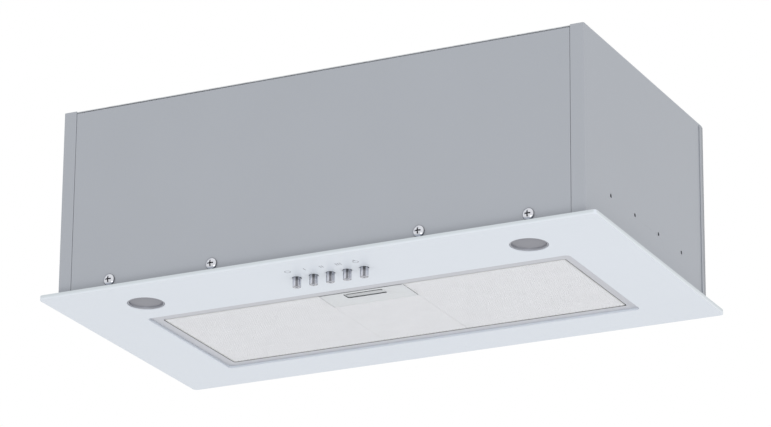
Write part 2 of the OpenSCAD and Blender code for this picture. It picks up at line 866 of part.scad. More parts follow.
module cord_gland() {
  r = cable_diameter / 2;
  color("gainsboro") difference() {
    union() {
      rod_z(gland_r, box_x, box_y, front_top - box_wall - 7, top_face);
      translate([box_x, box_y, top_face]) cylinder(r = gland_hex, h = 6, $fn = 6);
      rod_z(gland_r + 1.5, box_x, box_y, top_face + 6, top_face + 14);
    }
    rod_z(r, box_x, box_y, front_top - 20, top_face + 20);
  }
}

module gland_nut() {
  color("gainsboro") difference() {
    translate([box_x, box_y, front_top - box_wall - 5]) {
      cylinder(r = gland_hex, h = 5, $fn = 6);
    }
    rod_z(gland_r, box_x, box_y, front_top - 20, front_top);
  }
}

driver_len = 88;
driver_w = 38;
driver_h = 22;
module lamp_driver() {
  x0 = lip_half + 3;
  color("white") {
    span(x0, x0 + driver_w, co_mid - driver_len / 2, co_mid + driver_len / 2, frame_top,
      frame_top + driver_h);
    span(x0 + driver_w / 2 - 5, x0 + driver_w / 2 + 5, co_mid - driver_len / 2 - 9,
      co_mid + driver_len / 2 + 9, frame_top, frame_top + 2.5);
  }
}

// ---- controls ----

ear_x = switch_half_x + 7;
ear_screw = 3;
stem_r = 2;           // radius of the part of a button inside its spring
key_low = switch_low + 4;           // underside of a button's collar at rest
key_collar = 2;
spring_top = switch_top - 5;
module switch_housing() {
  color("dimgray") difference() {
    union() {
      span(-switch_half_x, switch_half_x, button_y - switch_half_y, button_y + switch_half_y,
        switch_low, switch_top);
      for (s = [0, 1]) mirror([s, 0, 0]) {
        span(switch_half_x, switch_half_x + 13, button_y - switch_half_y,
          button_y + switch_half_y, switch_low, switch_low + 3);
      }
    }
    at_buttons() {
      rod_z(button_diameter / 2 + button_gap / 2, 0, 0, switch_low - cut, key_low + cut);
      rod_z(key_collar_r + 0.2, 0, 0, key_low, spring_top);
      rod_z(stem_r + slip, 0, 0, spring_top - cut, switch_top + cut);
    }
    both_sides(ear_x) rod_z(ear_screw / 2 + fit, 0, button_y, switch_low - cut, switch_low + 4);
  }
}

module switch_screws() {
  color("silver") both_sides(ear_x) translate([0, button_y, switch_low + 3]) {
    mirror([0, 0, 1]) pan_screw(ear_screw, 3.9, 6);
  }
}

// One push button with its collar and stem, for the place k of -2 to 2.
module button(k) {
  z0 = glass_low - button_stand;
  color("silver") translate([k * button_pitch, button_y, 0]) difference() {
    union() {
      rod_z(button_diameter / 2, 0, 0, z0, key_low);
      rod_z(key_collar_r, 0, 0, key_low, key_low + key_collar);
      rod_z(stem_r, 0, 0, key_low + key_collar, switch_top - button_travel - 0.5);
    }
    rod_z(0.9, 0, 0, z0 - cut, z0 + 0.6);
  }
}

module button_off() {
  button(-2);
}

module button_speed_1() {
  button(-1);
}

module button_speed_2() {
  button(0);
}

module button_speed_3() {
  button(1);
}

module button_light() {
  button(2);
}

// A spring drawn as a stack of turns round a free core.
module spring_turns(inner, wire, length, turns) {
  step = (length - wire) / (turns - 1);
  for (k = [0 : turns - 1]) translate([0, 0, k * step]) difference() {
    cylinder(r = inner + wire, h = wire);
    translate([0, 0, -cut]) cylinder(r = inner, h = wire + 2 * cut);
  }
}

module button_springs() {
  z = key_low + key_collar + fit;
  color("silver") at_buttons() translate([0, 0, z]) {
    spring_turns(stem_r + 0.6, 0.6, spring_top - fit - z, 6);
  }
}

// ---- lamps ----

cup_wall = 1.2;
cup_gap = 0.3;        // gap between the lamp's cup and the glass
cup_flange = 4.5;
cup_top = frame_top + 12;
lens_low = glass_low + lamp_recess;
lens_t = 2;
board_z = lens_low + lens_t + 5;
board_t = 1.6;
module lamp_housing(x) {
  r = lamp_diameter / 2 - cup_gap;
  color("silver") translate([x, lamp_y, 0]) difference() {
    union() {
      rod_z(r, 0, 0, glass_low + 0.3, cup_top);
      rod_z(r + cup_flange, 0, 0, frame_top, frame_top + 2);
    }
    rod_z(r - cup_wall, 0, 0, glass_low - cut, lens_low + lens_t);
    rod_z(r - 2 * cup_wall, 0, 0, lens_low, cup_top - cup_wall);
    rod_z(2.2, 0, -r / 2, cup_top - cup_wall - cut, cup_top + cut);
  }
}

module lamp_housing_left() {
  lamp_housing(-lamp_x);
}

module lamp_housing_right() {
  lamp_housing(lamp_x);
}

module lamp_lens(x) {
  r = lamp_diameter / 2 - cup_gap - cup_wall - fit;
  color("lightgray") rod_z(r, x, lamp_y, lens_low, lens_low + lens_t);
}

module lamp_lens_left() {
  lamp_lens(-lamp_x);
}

module lamp_lens_right() {
  lamp_lens(lamp_x);
}

module lamp_board(x) {
  r = lamp_diameter / 2 - cup_gap - 2 * cup_wall - fit;
  color("yellow") {
    rod_z(r, x, lamp_y, board_z, board_z + board_t);
    for (a = [0 : 60 : 300]) {
      translate([x, lamp_y, board_z - 0.8]) rotate(a) translate([r * 0.6 - 1.4, -1.4, 0]) {
        cube([2.8, 2.8, 0.8]);
      }
    }
  }
}

module lamp_board_left() {
  lamp_board(-lamp_x);
}

module lamp_board_right() {
  lamp_board(lamp_x);
}

// ---- filter ----

notch_gap = 0.6;      // gap beside the latch's smooth plate
rim_in = filter_sheet + fit;
module filter_notch(z0, z1) {
  span(-latch_half - notch_gap, latch_half + notch_gap, filter_front - cut,
    latch_back + notch_gap, z0, z1);
}

module filter_tray() {
  color("gainsboro") difference() {
    union() {
      difference() {
        round_slab(-filter_half, filter_half, filter_front, filter_back, 2, lip_low,
          filter_top);
        span(-filter_half + filter_sheet, filter_half - filter_sheet,
          filter_front + filter_sheet, filter_back - filter_sheet, lip_low + filter_sheet,
          filter_top + cut);
      }
      both_sides(tab_x) {
        span(-tab_width / 2, tab_width / 2, filter_back - filter_sheet, filter_back + tab_reach,
          lip_top + fit, lip_top + fit + filter_sheet);
      }
    }
    filter_notch(lip_low - cut, filter_top + cut);
  }
}

backing_t = 0.5;      // thickness of the filter's upper sheet
layer_t = 0.3;        // effective thickness of each mesh layer
layer_count = 4;
module filter_core() {
  z0 = lip_low + filter_sheet;
  pitch = (filter_thickness - filter_sheet - backing_t) / layer_count;
  color("whitesmoke") for (k = [0 : layer_count - 1]) difference() {
    translate([0, 0, z0 + (k + 0.5) * pitch]) {
      span(-filter_half + rim_in, filter_half - rim_in, filter_front + rim_in,
        filter_back - rim_in, 0, layer_t);
    }
    filter_notch(lip_low - cut, filter_top + cut);
  }
}

module filter_backing() {
  color("gainsboro") difference() {
    span(-filter_half + rim_in, filter_half - rim_in, filter_front + rim_in,
      filter_back - rim_in, filter_top - backing_t, filter_top);
    filter_notch(lip_low - cut, filter_top + cut);
  }
}

house_wall = 1.4;     // walls of the latch housing
slide_low = lip_low + 1.2;
slide_t = 2.4;
slide_x = pad_x + 4;
slide_front = filter_front + house_wall + 0.2;
spring_solid = 6.1;   // length left for the pressed springs
slide_back = latch_back - house_wall - latch_travel - spring_solid;
tongue_x = 13;
pad_corner = 2;       // corner radius of the finger slot
tongue_low = lip_top + fit;
tongue_t = 1.5;
module latch_housing() {
  hb = latch_back;
  color("gainsboro") difference() {
    union() {
      span(-latch_half, latch_half, filter_front, hb, lip_low, filter_top - 1);
      for (s = [0, 1]) mirror([s, 0, 0]) {
        span(latch_half, latch_half + 6, hb - 14, hb - 4, lip_low + filter_sheet,
          lip_low + 2 * filter_sheet);
      }
    }
    span(-slide_x - 0.2, slide_x + 0.2, filter_front + house_wall, hb - house_wall,
      slide_low - 0.1, slide_low + slide_t + 0.2);
    round_slab(-pad_x, pad_x, pad_front, pad_back, pad_corner, lip_low - cut,
      slide_low);
    span(-tongue_x - 0.2, tongue_x + 0.2, filter_front - cut, filter_front + house_wall + cut,
      tongue_low - 0.15, tongue_low + tongue_t + 0.15);
    for (s = [0, 1]) mirror([s, 0, 0]) {
      span(slide_x + 4, latch_half - house_wall, filter_front + house_wall, hb - house_wall,
        lip_low + house_wall, filter_top - 1 + cut);
    }
  }
}

module filter_latch() {
  color("whitesmoke") union() {
    span(-slide_x, slide_x, slide_front + 0.2, slide_back, slide_low, slide_low + slide_t);
    span(-tongue_x, tongue_x, open_front + tongue_gap, slide_front + 3, tongue_low,
      tongue_low + tongue_t);
    round_slab(-pad_x + 2, pad_x - 2, pad_front + pad_gap, pad_front + pad_gap + 3.6, 1.6,
      lip_low + 0.3, slide_low + 0.5);
  }
}

latch_spring_x = 16;
module latch_springs() {
  y0 = slide_back + fit;
  y1 = latch_back - house_wall - fit;
  color("silver") both_sides(latch_spring_x) {
    translate([0, y0, slide_low + slide_t / 2]) rotate([-90, 0, 0]) {
      spring_turns(0.6, 0.5, y1 - y0, 7);
    }
  }
}

// ---- wiring ----

elbow = 2.2;          // half the side of the moulded elbow at each corner of the loom
elbow_in = 1.65;      // how far from an elbow's centre the straight runs end
module wire_elbow(p) {
  translate(p) cube(2 * elbow, center = true);
}

// A run of round wire through the listed points, square to the axes.
// Its first point is on another run's elbow where joined is true.
module wire(points, joined = false) {
  last = len(points) - 2;
  for (i = [0 : last]) {
    a = points[i];
    d = points[i + 1] - a;
    length = norm(d);
    before = i > 0 || joined ? elbow_in : 0;
    after = i < last ? elbow_in : 0;
    translate(a) rotate([0, acos(d[2] / length), atan2(d[1], d[0])]) {
      rod_z(wire_r, 0, 0, before, length - after);
    }
    if (i > 0) wire_elbow(a);
  }
}

loom_y = lamp_y - lamp_diameter / 2 - cup_flange - 4;
loom_z = cup_top + 4;
lamp_tap = lamp_y - lamp_diameter / 4;
module wiring_loom() {
  up_x = box_x - box_length / 2 - 14;
  side_x = lip_half + 3 + driver_w / 2;
  high_z = box_low + 8;
  lead_x = motor_x0 - 18;
  switch_lead = -switch_half_x + 8;
  cap_end = cap_x + cap_len / 2;
  color("black") {
    wire([[-lamp_x, lamp_tap, cup_top + 0.2], [-lamp_x, lamp_tap, loom_z],
      [-lamp_x, loom_y, loom_z], [switch_lead, loom_y, loom_z], [lamp_x, loom_y, loom_z],
      [lamp_x, lamp_tap, loom_z],
      [lamp_x, lamp_tap, cup_top + 0.2]]);
    wire([[-lamp_x, loom_y, loom_z], [up_x, loom_y, loom_z], [up_x, loom_y, high_z],
      [up_x, box_y, high_z], [box_x - box_length / 2 + box_wall + 4, box_y, high_z]], true);
    wire([[lamp_x, loom_y, loom_z], [side_x, loom_y, loom_z], [side_x, loom_y, loom_z - 6],
      [side_x, co_mid - driver_len / 2 - 0.2, loom_z - 6]], true);
    wire([[switch_lead, loom_y, loom_z],
      [switch_lead, button_y - switch_half_y - 0.2, loom_z]], true);
    wire([[up_x, loom_y, high_z], [lead_x, loom_y, high_z],
      [lead_x, axis_y, axis_height + motor_lead],
      [motor_x0 + 5, axis_y, axis_height + motor_lead]], true);
    wire([[lead_x, loom_y, high_z], [cap_end + 16, loom_y, high_z], [cap_end + 16, cap_y, high_z],
      [cap_end + 10.2, cap_y, high_z]], true);
  }
}

// ---- the sub-part that is drawn ----

glass_panel();
glass_bond();
base_frame();
side_panel_left();
side_panel_right();
front_plate();
back_plate();
top_plate();
panel_screws();
shell_rivets();
outlet_collar();
collar_screws();
flap_pin();
flap_left();
flap_right();
scroll_wrapper();
scroll_cheek_left();
scroll_cheek_right();
blower_screws();
impeller();
motor_shaft();
impeller_nut();
motor_can();
motor_bracket();
motor_grommets();
run_capacitor();
capacitor_clip();
terminal_box();
terminal_lid();
terminal_block();
lid_screws();
cord_gland();
gland_nut();
switch_housing();
switch_screws();
button_off();
button_speed_1();
button_speed_2();
button_speed_3();
button_light();
button_springs();
lamp_housing_left();
lamp_housing_right();
lamp_lens_left();
lamp_lens_right();
lamp_board_left();
lamp_board_right();
lamp_driver();
filter_tray();
filter_core();
filter_backing();
latch_housing();
filter_latch();
latch_springs();
wiring_loom();
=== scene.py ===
"""Visual model of an under cabinet range hood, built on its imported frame.

Sizes are in millimetres in the classes and in metres in the meshes. X points to
the right, Y to the back wall and Z up, and the upper face of the glass is at zero.
"""

import json
import logging
import math
from dataclasses import dataclass, field
from enum import Enum
from typing import Any, Iterable, Mapping, Sequence

import bmesh
import bpy
from mathutils import Matrix, Vector


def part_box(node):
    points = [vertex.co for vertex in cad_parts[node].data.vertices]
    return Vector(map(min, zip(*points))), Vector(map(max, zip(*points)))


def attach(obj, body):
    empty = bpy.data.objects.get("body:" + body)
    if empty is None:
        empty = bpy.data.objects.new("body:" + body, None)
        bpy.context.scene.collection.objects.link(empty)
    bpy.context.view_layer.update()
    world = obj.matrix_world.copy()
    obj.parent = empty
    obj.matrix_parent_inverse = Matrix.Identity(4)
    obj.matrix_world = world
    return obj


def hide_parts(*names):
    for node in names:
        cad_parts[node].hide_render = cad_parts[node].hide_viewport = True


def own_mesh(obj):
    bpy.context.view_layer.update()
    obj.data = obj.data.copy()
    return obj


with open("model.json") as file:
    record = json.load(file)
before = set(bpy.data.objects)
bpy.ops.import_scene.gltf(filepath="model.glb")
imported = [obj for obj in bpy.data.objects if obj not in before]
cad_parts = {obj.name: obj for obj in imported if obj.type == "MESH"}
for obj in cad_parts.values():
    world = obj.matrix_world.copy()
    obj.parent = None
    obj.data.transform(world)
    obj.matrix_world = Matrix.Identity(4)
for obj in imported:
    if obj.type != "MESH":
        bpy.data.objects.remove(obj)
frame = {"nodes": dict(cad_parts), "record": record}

LOG = logging.getLogger("hood")
MM = 0.001
Colour = tuple[float, float, float, float]
Point = tuple[float, float, float]
EVEN: Point = (1.0, 1.0, 1.0)
WELD = 2e-6
THIN = 1e-6
FLAT = math.radians(0.3)


class Body(str, Enum):
    """The bodies that pieces ride on when they stand for no node, or for nodes of one body."""

    HOOD = "hood"
    FILTER = "filter"


class Side(Enum):
    """Left or right, with the sign of X on that side."""

    LEFT = -1
    RIGHT = 1

    @property
    def word(self) -> str:
        """The side's name in small letters."""
        return self.name.lower()


class Grain(Enum):
    """The direction in which a metal was brushed, as a stretch of its noise."""

    ALONG = (0.02, 1.0, 1.0)
    NONE = (1.0, 1.0, 1.0)


def display(red: int, green: int, blue: int) -> Colour:
    """Linear colour of a display colour.

    Args:
        red: Red, from 0 to 255.
        green: Green, from 0 to 255.
        blue: Blue, from 0 to 255.

    Returns:
        The colour in linear light, with full alpha.
    """

    def one(value: int) -> float:
        """Linear light of one channel."""
        v = value / 255.0
        return v / 12.92 if v <= 0.04045 else ((v + 0.055) / 1.055) ** 2.4

    return (one(red), one(green), one(blue), 1.0)


# ---- shader graphs ----


class Wire:
    """One output of a shader node, on which plain arithmetic adds Math nodes."""

    def __init__(self, graph: "Graph", socket: bpy.types.NodeSocket) -> None:
        """Wraps a socket of a graph."""
        self.graph = graph
        self.socket = socket

    def _math(self, operation: str, *terms: "Wire | float") -> "Wire":
        """Adds a Math node with these terms."""
        return self.graph.add("ShaderNodeMath", dict(enumerate(terms)), operation=operation)

    def __add__(self, other: "Wire | float") -> "Wire":
        """Sum."""
        return self._math("ADD", self, other)

    __radd__ = __add__

    def __sub__(self, other: "Wire | float") -> "Wire":
        """Difference."""
        return self._math("SUBTRACT", self, other)

    def __rsub__(self, other: float) -> "Wire":
        """Difference from a number."""
        return self._math("SUBTRACT", other, self)

    def __mul__(self, other: "Wire | float") -> "Wire":
        """Product."""
        return self._math("MULTIPLY", self, other)

    __rmul__ = __mul__

    def __truediv__(self, other: "Wire | float") -> "Wire":
        """Quotient."""
        return self._math("DIVIDE", self, other)

    def __abs__(self) -> "Wire":
        """Absolute value."""
        return self._math("ABSOLUTE", self)

    def of(self, operation: str, *terms: "Wire | float") -> "Wire":
        """Any other Math operation, on this value and these terms."""
        return self._math(operation, self, *terms)

    def step(self, low: float, high: float, start: float = 0.0, end: float = 1.0) -> "Wire":
        """Smooth step of this value.

        Args:
            low: Value at which the step begins.
            high: Value at which it ends.
            start: Result below the step.
            end: Result above it.

        Returns:
            The stepped value.
        """
        names = {"Value": self, "From Min": low, "From Max": high, "To Min": start, "To Max": end}
        return self.graph.add("ShaderNodeMapRange", names, interpolation_type="SMOOTHSTEP")


class Graph:
    """The shader graph of one finish."""

    def __init__(self, name: str) -> None:
        """Makes a material with a principled shader only.

        Args:
            name: Name of the material.
        """
        self.material = bpy.data.materials.new(name)
        self.material.use_nodes = True
        self.tree = self.material.node_tree
        self.tree.nodes.clear()
        end = self.tree.nodes.new("ShaderNodeOutputMaterial")
        self.shader = self.tree.nodes.new("ShaderNodeBsdfPrincipled")
        self.tree.links.new(self.shader.outputs[0], end.inputs["Surface"])

    def _feed(self, socket: bpy.types.NodeSocket, value: Any) -> None:
        """Links a wire to a socket, or sets the socket to a value.

        Args:
            socket: The socket.
            value: A wire, or the value.
        """
        if isinstance(value, Wire):
            self.tree.links.new(value.socket, socket)
        else:
            socket.default_value = value

    def add(
        self,
        kind: str,
        inputs: Mapping[Any, Any] | None = None,
        out: int | str = 0,
        **settings: Any,
    ) -> Wire:
        """Adds a node.

        Args:
            kind: Type of the node.
            inputs: Values or wires by the socket's name or number.
            out: Name or number of the output that is returned.
            **settings: The node's own settings. Stops sets a ramp's colours.

        Returns:
            The chosen output.
        """
        node = self.tree.nodes.new(kind)
        stops = settings.pop("stops", None)
        for key, value in settings.items():
            setattr(node, key, value)
        if stops:
            ramp = node.color_ramp
            while len(ramp.elements) < len(stops):
                ramp.elements.new(0.5)
            for element, (place, colour) in zip(ramp.elements, stops):
                element.position, element.color = place, colour
        for key, value in (inputs or {}).items():
            self._feed(node.inputs[key], value)
        return Wire(self, node.outputs[out])

    def place(self, stretch: Point = EVEN) -> Wire:
        """Position on the object.

        Args:
            stretch: Scale along each axis.

        Returns:
            The object coordinates.
        """
        raw = self.add("ShaderNodeTexCoord", out="Object")
        if stretch == EVEN:
            return raw
        return self.add("ShaderNodeMapping", {"Vector": raw, "Scale": stretch})

    def axes(self) -> tuple[Wire, Wire, Wire]:
        """The three parts of the position on the object."""
        first = self.add("ShaderNodeSeparateXYZ", {0: self.place()})
        node = first.socket.node
        return first, Wire(self, node.outputs[1]), Wire(self, node.outputs[2])

    def noise(self, size: float, detail: float = 2.0, stretch: Point = EVEN, rough: float = 0.5) -> Wire:
        """Smooth noise from 0 to 1.

        Args:
            size: Width of a feature, in millimetres.
            detail: Octaves of finer noise.
            stretch: Scale along each axis.
            rough: Strength of each finer octave.

        Returns:
            The noise.
        """
        names = {"Vector": self.place(stretch), "Scale": 1.0 / (size * MM)}
        names |= {"Detail": detail, "Roughness": rough}
        return self.add("ShaderNodeTexNoise", names)

    def cells(self, size: float, out: str = "Color", feature: str = "F1") -> Wire:
        """Irregular cells.

        Args:
            size: Width of a cell, in millimetres.
            out: The node's output: Color, Distance or Position.
            feature: Which distance is measured.

        Returns:
            The chosen output.
        """
        names = {"Vector": self.place(), "Scale": 1.0 / (size * MM)}
        return self.add("ShaderNodeTexVoronoi", names, out, feature=feature)

    def grey(self, colour: Wire) -> Wire:
        """Brightness of a colour."""
        return self.add("ShaderNodeRGBToBW", {0: colour})

    def mix(self, amount: Wire | float, low: Wire | Colour, high: Wire | Colour) -> Wire:
        """Mixes two colours.

        Args:
            amount: Share of the second colour, from 0 to 1.
            low: First colour.
            high: Second colour.

        Returns:
            The mixed colour.
        """
        return self.add("ShaderNodeMix", {0: amount, 6: low, 7: high}, 2, data_type="RGBA", clamp_factor=True)

    def bump(self, height: Wire, deep: float, strength: float = 1.0) -> Wire:
        """Normal from a height.

        Args:
            height: Height from 0 to 1.
            deep: Distance in millimetres for a height of 1.
            strength: Strength of the effect.

        Returns:
            The normal.
        """
        return self.add("ShaderNodeBump", {"Height": height, "Distance": deep * MM, "Strength": strength})

    def surface(self, **sockets: Any) -> None:
        """Feeds the shader's sockets, named in small letters with underscores."""
        names = {s.name.lower().replace(" ", "_"): s for s in self.shader.inputs}
        for key, value in sockets.items():
            self._feed(names[key], value)


def tint(colour: Colour, factor: float) -> Colour:
    """A colour made lighter or darker by a factor."""
    return (colour[0] * factor, colour[1] * factor, colour[2] * factor, 1.0)


# ---- finishes ----


@dataclass(frozen=True)
class Finish:
    """A surface finish, built once and then shared."""

    name: str
    colour: Colour
    slot: str = ""

    def material(self) -> bpy.types.Material:
        """The finish as a material."""
        made = bpy.data.materials.get("finish_" + self.name)
        if made is None:
            graph = Graph("finish_" + self.name)
            self.dress(graph)
            made = graph.material
        return made

    def dress(self, graph: Graph) -> None:
        """Lays out the finish's shader."""
        raise NotImplementedError


@dataclass(frozen=True)
class PowderPaint(Finish):
    """Silver powder paint: fine flakes in a slightly rippled coat."""

    flake: float = 0.35
    gloss: float = 0.42

    def dress(self, graph: Graph) -> None:
        """Lays out flakes, ripple, slow changes of tone and painted shade just above the glass.

        Args:
            graph: The graph of the finish.
        """
        flakes = graph.grey(graph.cells(self.flake))
        ripple = graph.noise(1.6, 2.0)
        tone = graph.noise(70.0, 2.0)
        scuff = graph.noise(9.0, 5.0, (1.0, 1.0, 0.25), 0.7).step(0.62, 0.75)
        _, _, z = graph.axes()
        # Painted shade: the paint darkens towards the glass, standing in for the shade that the glass ledge
        # casts on the body.
        foot = z.step(1.0 * MM, 11.0 * MM, 1.0, 0.0)
        mass = 0.55 * flakes + 0.45 * tone
        unshaded_paint = graph.mix(mass, tint(self.colour, 0.95), tint(self.colour, 1.05))
        colour = graph.mix(foot * 0.3, unshaded_paint, tint(self.colour, 0.45))
        graph.surface(
            base_color=colour,
            metallic=0.25 + 0.2 * flakes,
            roughness=self.gloss + 0.08 * tone + 0.06 * scuff,
            normal=graph.bump(ripple + 0.25 * flakes, 0.012),
        )


@dataclass(frozen=True)
class BackedGlass(Finish):
    """Glass painted white on its back, seen through clear polished edges."""

    half_x: float = 262.5
    half_y: float = 142.5

    def dress(self, graph: Graph) -> None:
        """Lays out the body colour, the greener edge and faint smears.

        Args:
            graph: The graph of the finish.
        """
        x, y, z = graph.axes()
        edge = abs(x).of("SUBTRACT", self.half_x * MM).of("MAXIMUM", abs(y) - self.half_y * MM)
        rim = edge.step(-0.9 * MM, -0.05 * MM)
        depth = z.step(-3.7 * MM, -1.0 * MM)
        smear = graph.noise(24.0, 4.0, (1.0, 2.2, 1.0), 0.6).step(0.45, 0.8)
        tone = graph.noise(160.0, 1.0)
        face = graph.mix(tone, tint(self.colour, 0.985), tint(self.colour, 1.01))
        side = graph.mix(depth, display(214, 220, 227), display(196, 203, 208))
        graph.surface(
            base_color=graph.mix(rim, face, side),
            roughness=0.34 + 0.08 * smear,
            coat_weight=0.1 * smear,
            coat_roughness=0.3,
            normal=graph.bump(graph.noise(40.0, 1.0), 0.03, 0.4),
        )


@dataclass(frozen=True)
class BrushedMetal(Finish):
    """Sheet metal with a fine brushed grain."""

    grain: Grain = Grain.ALONG
    gloss: float = 0.34
    metal: float = 0.85

    def dress(self, graph: Graph) -> None:
        """Lays out the grain, slow tone changes and light marks of handling.

        Args:
            graph: The graph of the finish.
        """
        lines = graph.noise(0.35, 3.0, self.grain.value, 0.6)
        tone = graph.noise(45.0, 3.0)
        marks = graph.noise(5.0, 6.0, rough=0.75).step(0.6, 0.72)
        mass = 0.6 * lines + 0.4 * tone
        graph.surface(
            base_color=graph.mix(mass, tint(self.colour, 0.88), tint(self.colour, 1.08)),
            metallic=self.metal,
            roughness=self.gloss + 0.16 * lines + 0.08 * marks,
            normal=graph.bump(lines, 0.006),
        )


@dataclass(frozen=True)
class Galvanised(Finish):
    """Zinc-coated sheet with the flat crystals of hot dipping."""

    crystal: float = 7.0

    def dress(self, graph: Graph) -> None:
        """Lays out crystals of different greys with thin borders.

        Args:
            graph: The graph of the finish.
        """
        spangle = graph.grey(graph.cells(self.crystal))
        fine = graph.grey(graph.cells(self.crystal * 0.37))
        frost = graph.noise(0.8, 4.0, rough=0.7)
        mass = 0.55 * spangle + 0.25 * fine + 0.2 * frost
        graph.surface(
            base_color=graph.mix(mass, tint(self.colour, 0.74), tint(self.colour, 1.12)),
            metallic=0.8,
            roughness=0.32 + 0.2 * fine + 0.1 * frost,
            normal=graph.bump(spangle + 0.4 * frost, 0.01),
        )


@dataclass(frozen=True)
class Plated(Finish):
    """Bright plating with a little haze."""

    gloss: float = 0.12
    haze: float = 0.1

    def dress(self, graph: Graph) -> None:
        """Lays out the haze, fine pits and slight changes of colour.

        Args:
            graph: The graph of the finish.
        """
        cloud = graph.noise(3.0, 4.0, rough=0.6)
        pits = graph.cells(0.4, "Distance").step(0.0, 0.16)
        graph.surface(
            base_color=graph.mix(cloud, tint(self.colour, 0.9), tint(self.colour, 1.06)),
            metallic=1.0,
            roughness=self.gloss + self.haze * cloud,
            normal=graph.bump(pits, 0.003, 0.5),
        )


@dataclass(frozen=True)
class PanHead(Finish):
    """Plated pan heads with painted shade in their cross recesses and round their edges."""

    middle_x: float = 148.0
    half_pitch: float = 50.0
    height: float = 8.5
    crown: float = 134.2
    recess_r: float = 2.4
    head_r: float = 5.25

    def dress(self, graph: Graph) -> None:
        """Lays out the painted shade of the recess and of the outline of every head, from its own axis.

        Args:
            graph: The graph of the finish.
        """
        x, y, z = graph.axes()
        across = abs(abs(x) - self.middle_x * MM) - self.half_pitch * MM
        up = z - self.height * MM
        radius = (across * across + up * up).of("SQRT")
        # Painted shade in the cross recess and along the edge of each head.
        deep = abs(y).step(self.crown * MM, (self.crown + 0.25) * MM, 1.0, 0.0)
        painted_recess_shade = radius.step(self.recess_r * MM, (self.recess_r + 0.3) * MM, 1.0, 0.0) * deep
        outline = radius.step((self.head_r - 0.55) * MM, (self.head_r - 0.1) * MM)
        painted_darkening = (painted_recess_shade + 0.75 * outline).of("MINIMUM", 1.0)
        cloud = graph.noise(2.0, 4.0, rough=0.6)
        bright = graph.mix(cloud, tint(self.colour, 0.92), tint(self.colour, 1.08))
        graph.surface(
            base_color=graph.mix(painted_darkening, bright, tint(self.colour, 0.1)),
            metallic=1.0,
            roughness=0.14 + 0.1 * cloud,
            normal=graph.bump(cloud, 0.004, 0.5),
        )


@dataclass(frozen=True)
class FrameSheet(Finish):
    """Coated steel of the base frame, with painted shade on the walls of its opening."""

    open_half: float = 193.0
    open_front: float = -45.0
    open_back: float = 89.0
    low: float = -2.0

    def dress(self, graph: Graph) -> None:
        """Lays out a fine grain and painted shade on the walls of the opening.

        Args:
            graph: The graph of the finish.
        """
        x, y, z = graph.axes()
        # Painted shade: the walls of the opening are darkened, and lose their metal, to stand in for the
        # shaded gap round the filter.
        out = (abs(x) - self.open_half * MM).of("MAXIMUM", y - self.open_back * MM)
        out = out.of("MAXIMUM", self.open_front * MM - y)
        near = out.step(0.05 * MM, 0.14 * MM, 1.0, 0.0)
        painted_gap_shade = near * z.step((self.low + 0.03) * MM, (self.low + 0.12) * MM)
        lines = graph.noise(0.35, 3.0, Grain.ALONG.value, 0.6)
        tone = graph.noise(45.0, 3.0)
        sheet = graph.mix(0.6 * lines + 0.4 * tone, tint(self.colour, 0.92), tint(self.colour, 1.06))
        graph.surface(
            base_color=graph.mix(painted_gap_shade, sheet, tint(self.colour, 0.06)),
            metallic=0.3 - 0.3 * painted_gap_shade,
            roughness=0.42 + 0.16 * lines,
            normal=graph.bump(lines, 0.006),
        )


@dataclass(frozen=True)
class KeyChrome(Finish):
    """Turned and plated keys in a row, whose sides carry soft painted dark reflection bands."""

    pitch: float = 16.0
    row_y: float = -101.0
    # Number and starting angle of the painted reflection bands.
    bands: int = 4
    start: float = -26.0

    def dress(self, graph: Graph) -> None:
        """Lays out painted reflection bands round each key's own axis, painted shade near the glass and on
        the press face, and turning rings.

        Args:
            graph: The graph of the finish.
        """
        x, y, z = graph.axes()
        across = (x / (self.pitch * MM) + 20.5).of("FRACT") * (self.pitch * MM) - 0.5 * self.pitch * MM
        along = y - self.row_y * MM
        # Painted reflection: soft dark bands round each key's axis stand in for the reflected surround.
        angle = along.of("ARCTAN2", across)
        band = (angle * self.bands + math.radians(self.start * self.bands)).of("COSINE")
        radius = (across * across + along * along).of("SQRT")
        side = radius.step(2.9 * MM, 3.3 * MM)
        painted_reflection_streak = band.step(-0.2, 0.75) * side
        # Painted shade towards the glass, where the key enters its hole.
        foot = z.step(-9.0 * MM, -4.5 * MM)
        rings = (radius * (2.0 * math.pi / (0.22 * MM))).of("SINE") * 0.5 + 0.5
        # Painted shade round the dimple, and a painted darker rim and press face.
        end = z.step(-12.45 * MM, -12.3 * MM, 1.0, 0.0)
        dot = radius.step(0.9 * MM, 1.3 * MM, 1.0, 0.0)
        rim = radius.step(2.5 * MM, 2.9 * MM)
        face = end * (dot + 0.35 * rim + 0.2)
        painted_darkening = (painted_reflection_streak * 0.75 + foot * 0.35 + face).of("MINIMUM", 1.0)
        graph.surface(
            base_color=graph.mix(painted_darkening, self.colour, tint(self.colour, 0.14)),
            metallic=1.0,
            roughness=0.13 + 0.12 * graph.noise(1.2, 3.0),
            normal=graph.bump(rings, 0.004, 0.35),
        )


@dataclass(frozen=True)
class Moulded(Finish):
    """Moulded plastic with a fine spark texture and a few scuffs."""

    gloss: float = 0.45
    texture: float = 0.5

    def dress(self, graph: Graph) -> None:
        """Lays out the spark texture, flow tone and scuffs.

        Args:
            graph: The graph of the finish.
        """
        spark = graph.cells(self.texture, "Distance")
        flow = graph.noise(22.0, 2.0, (1.0, 1.0, 0.4))
        scuff = graph.noise(3.0, 6.0, rough=0.75).step(0.62, 0.74)
        mass = 0.5 * flow + 0.35 * spark + 0.15 * scuff
        graph.surface(
            base_color=graph.mix(mass, tint(self.colour, 0.9), tint(self.colour, 1.12)),
            roughness=self.gloss + 0.12 * spark + 0.1 * scuff,
            normal=graph.bump(spark, 0.02, 0.7),
        )


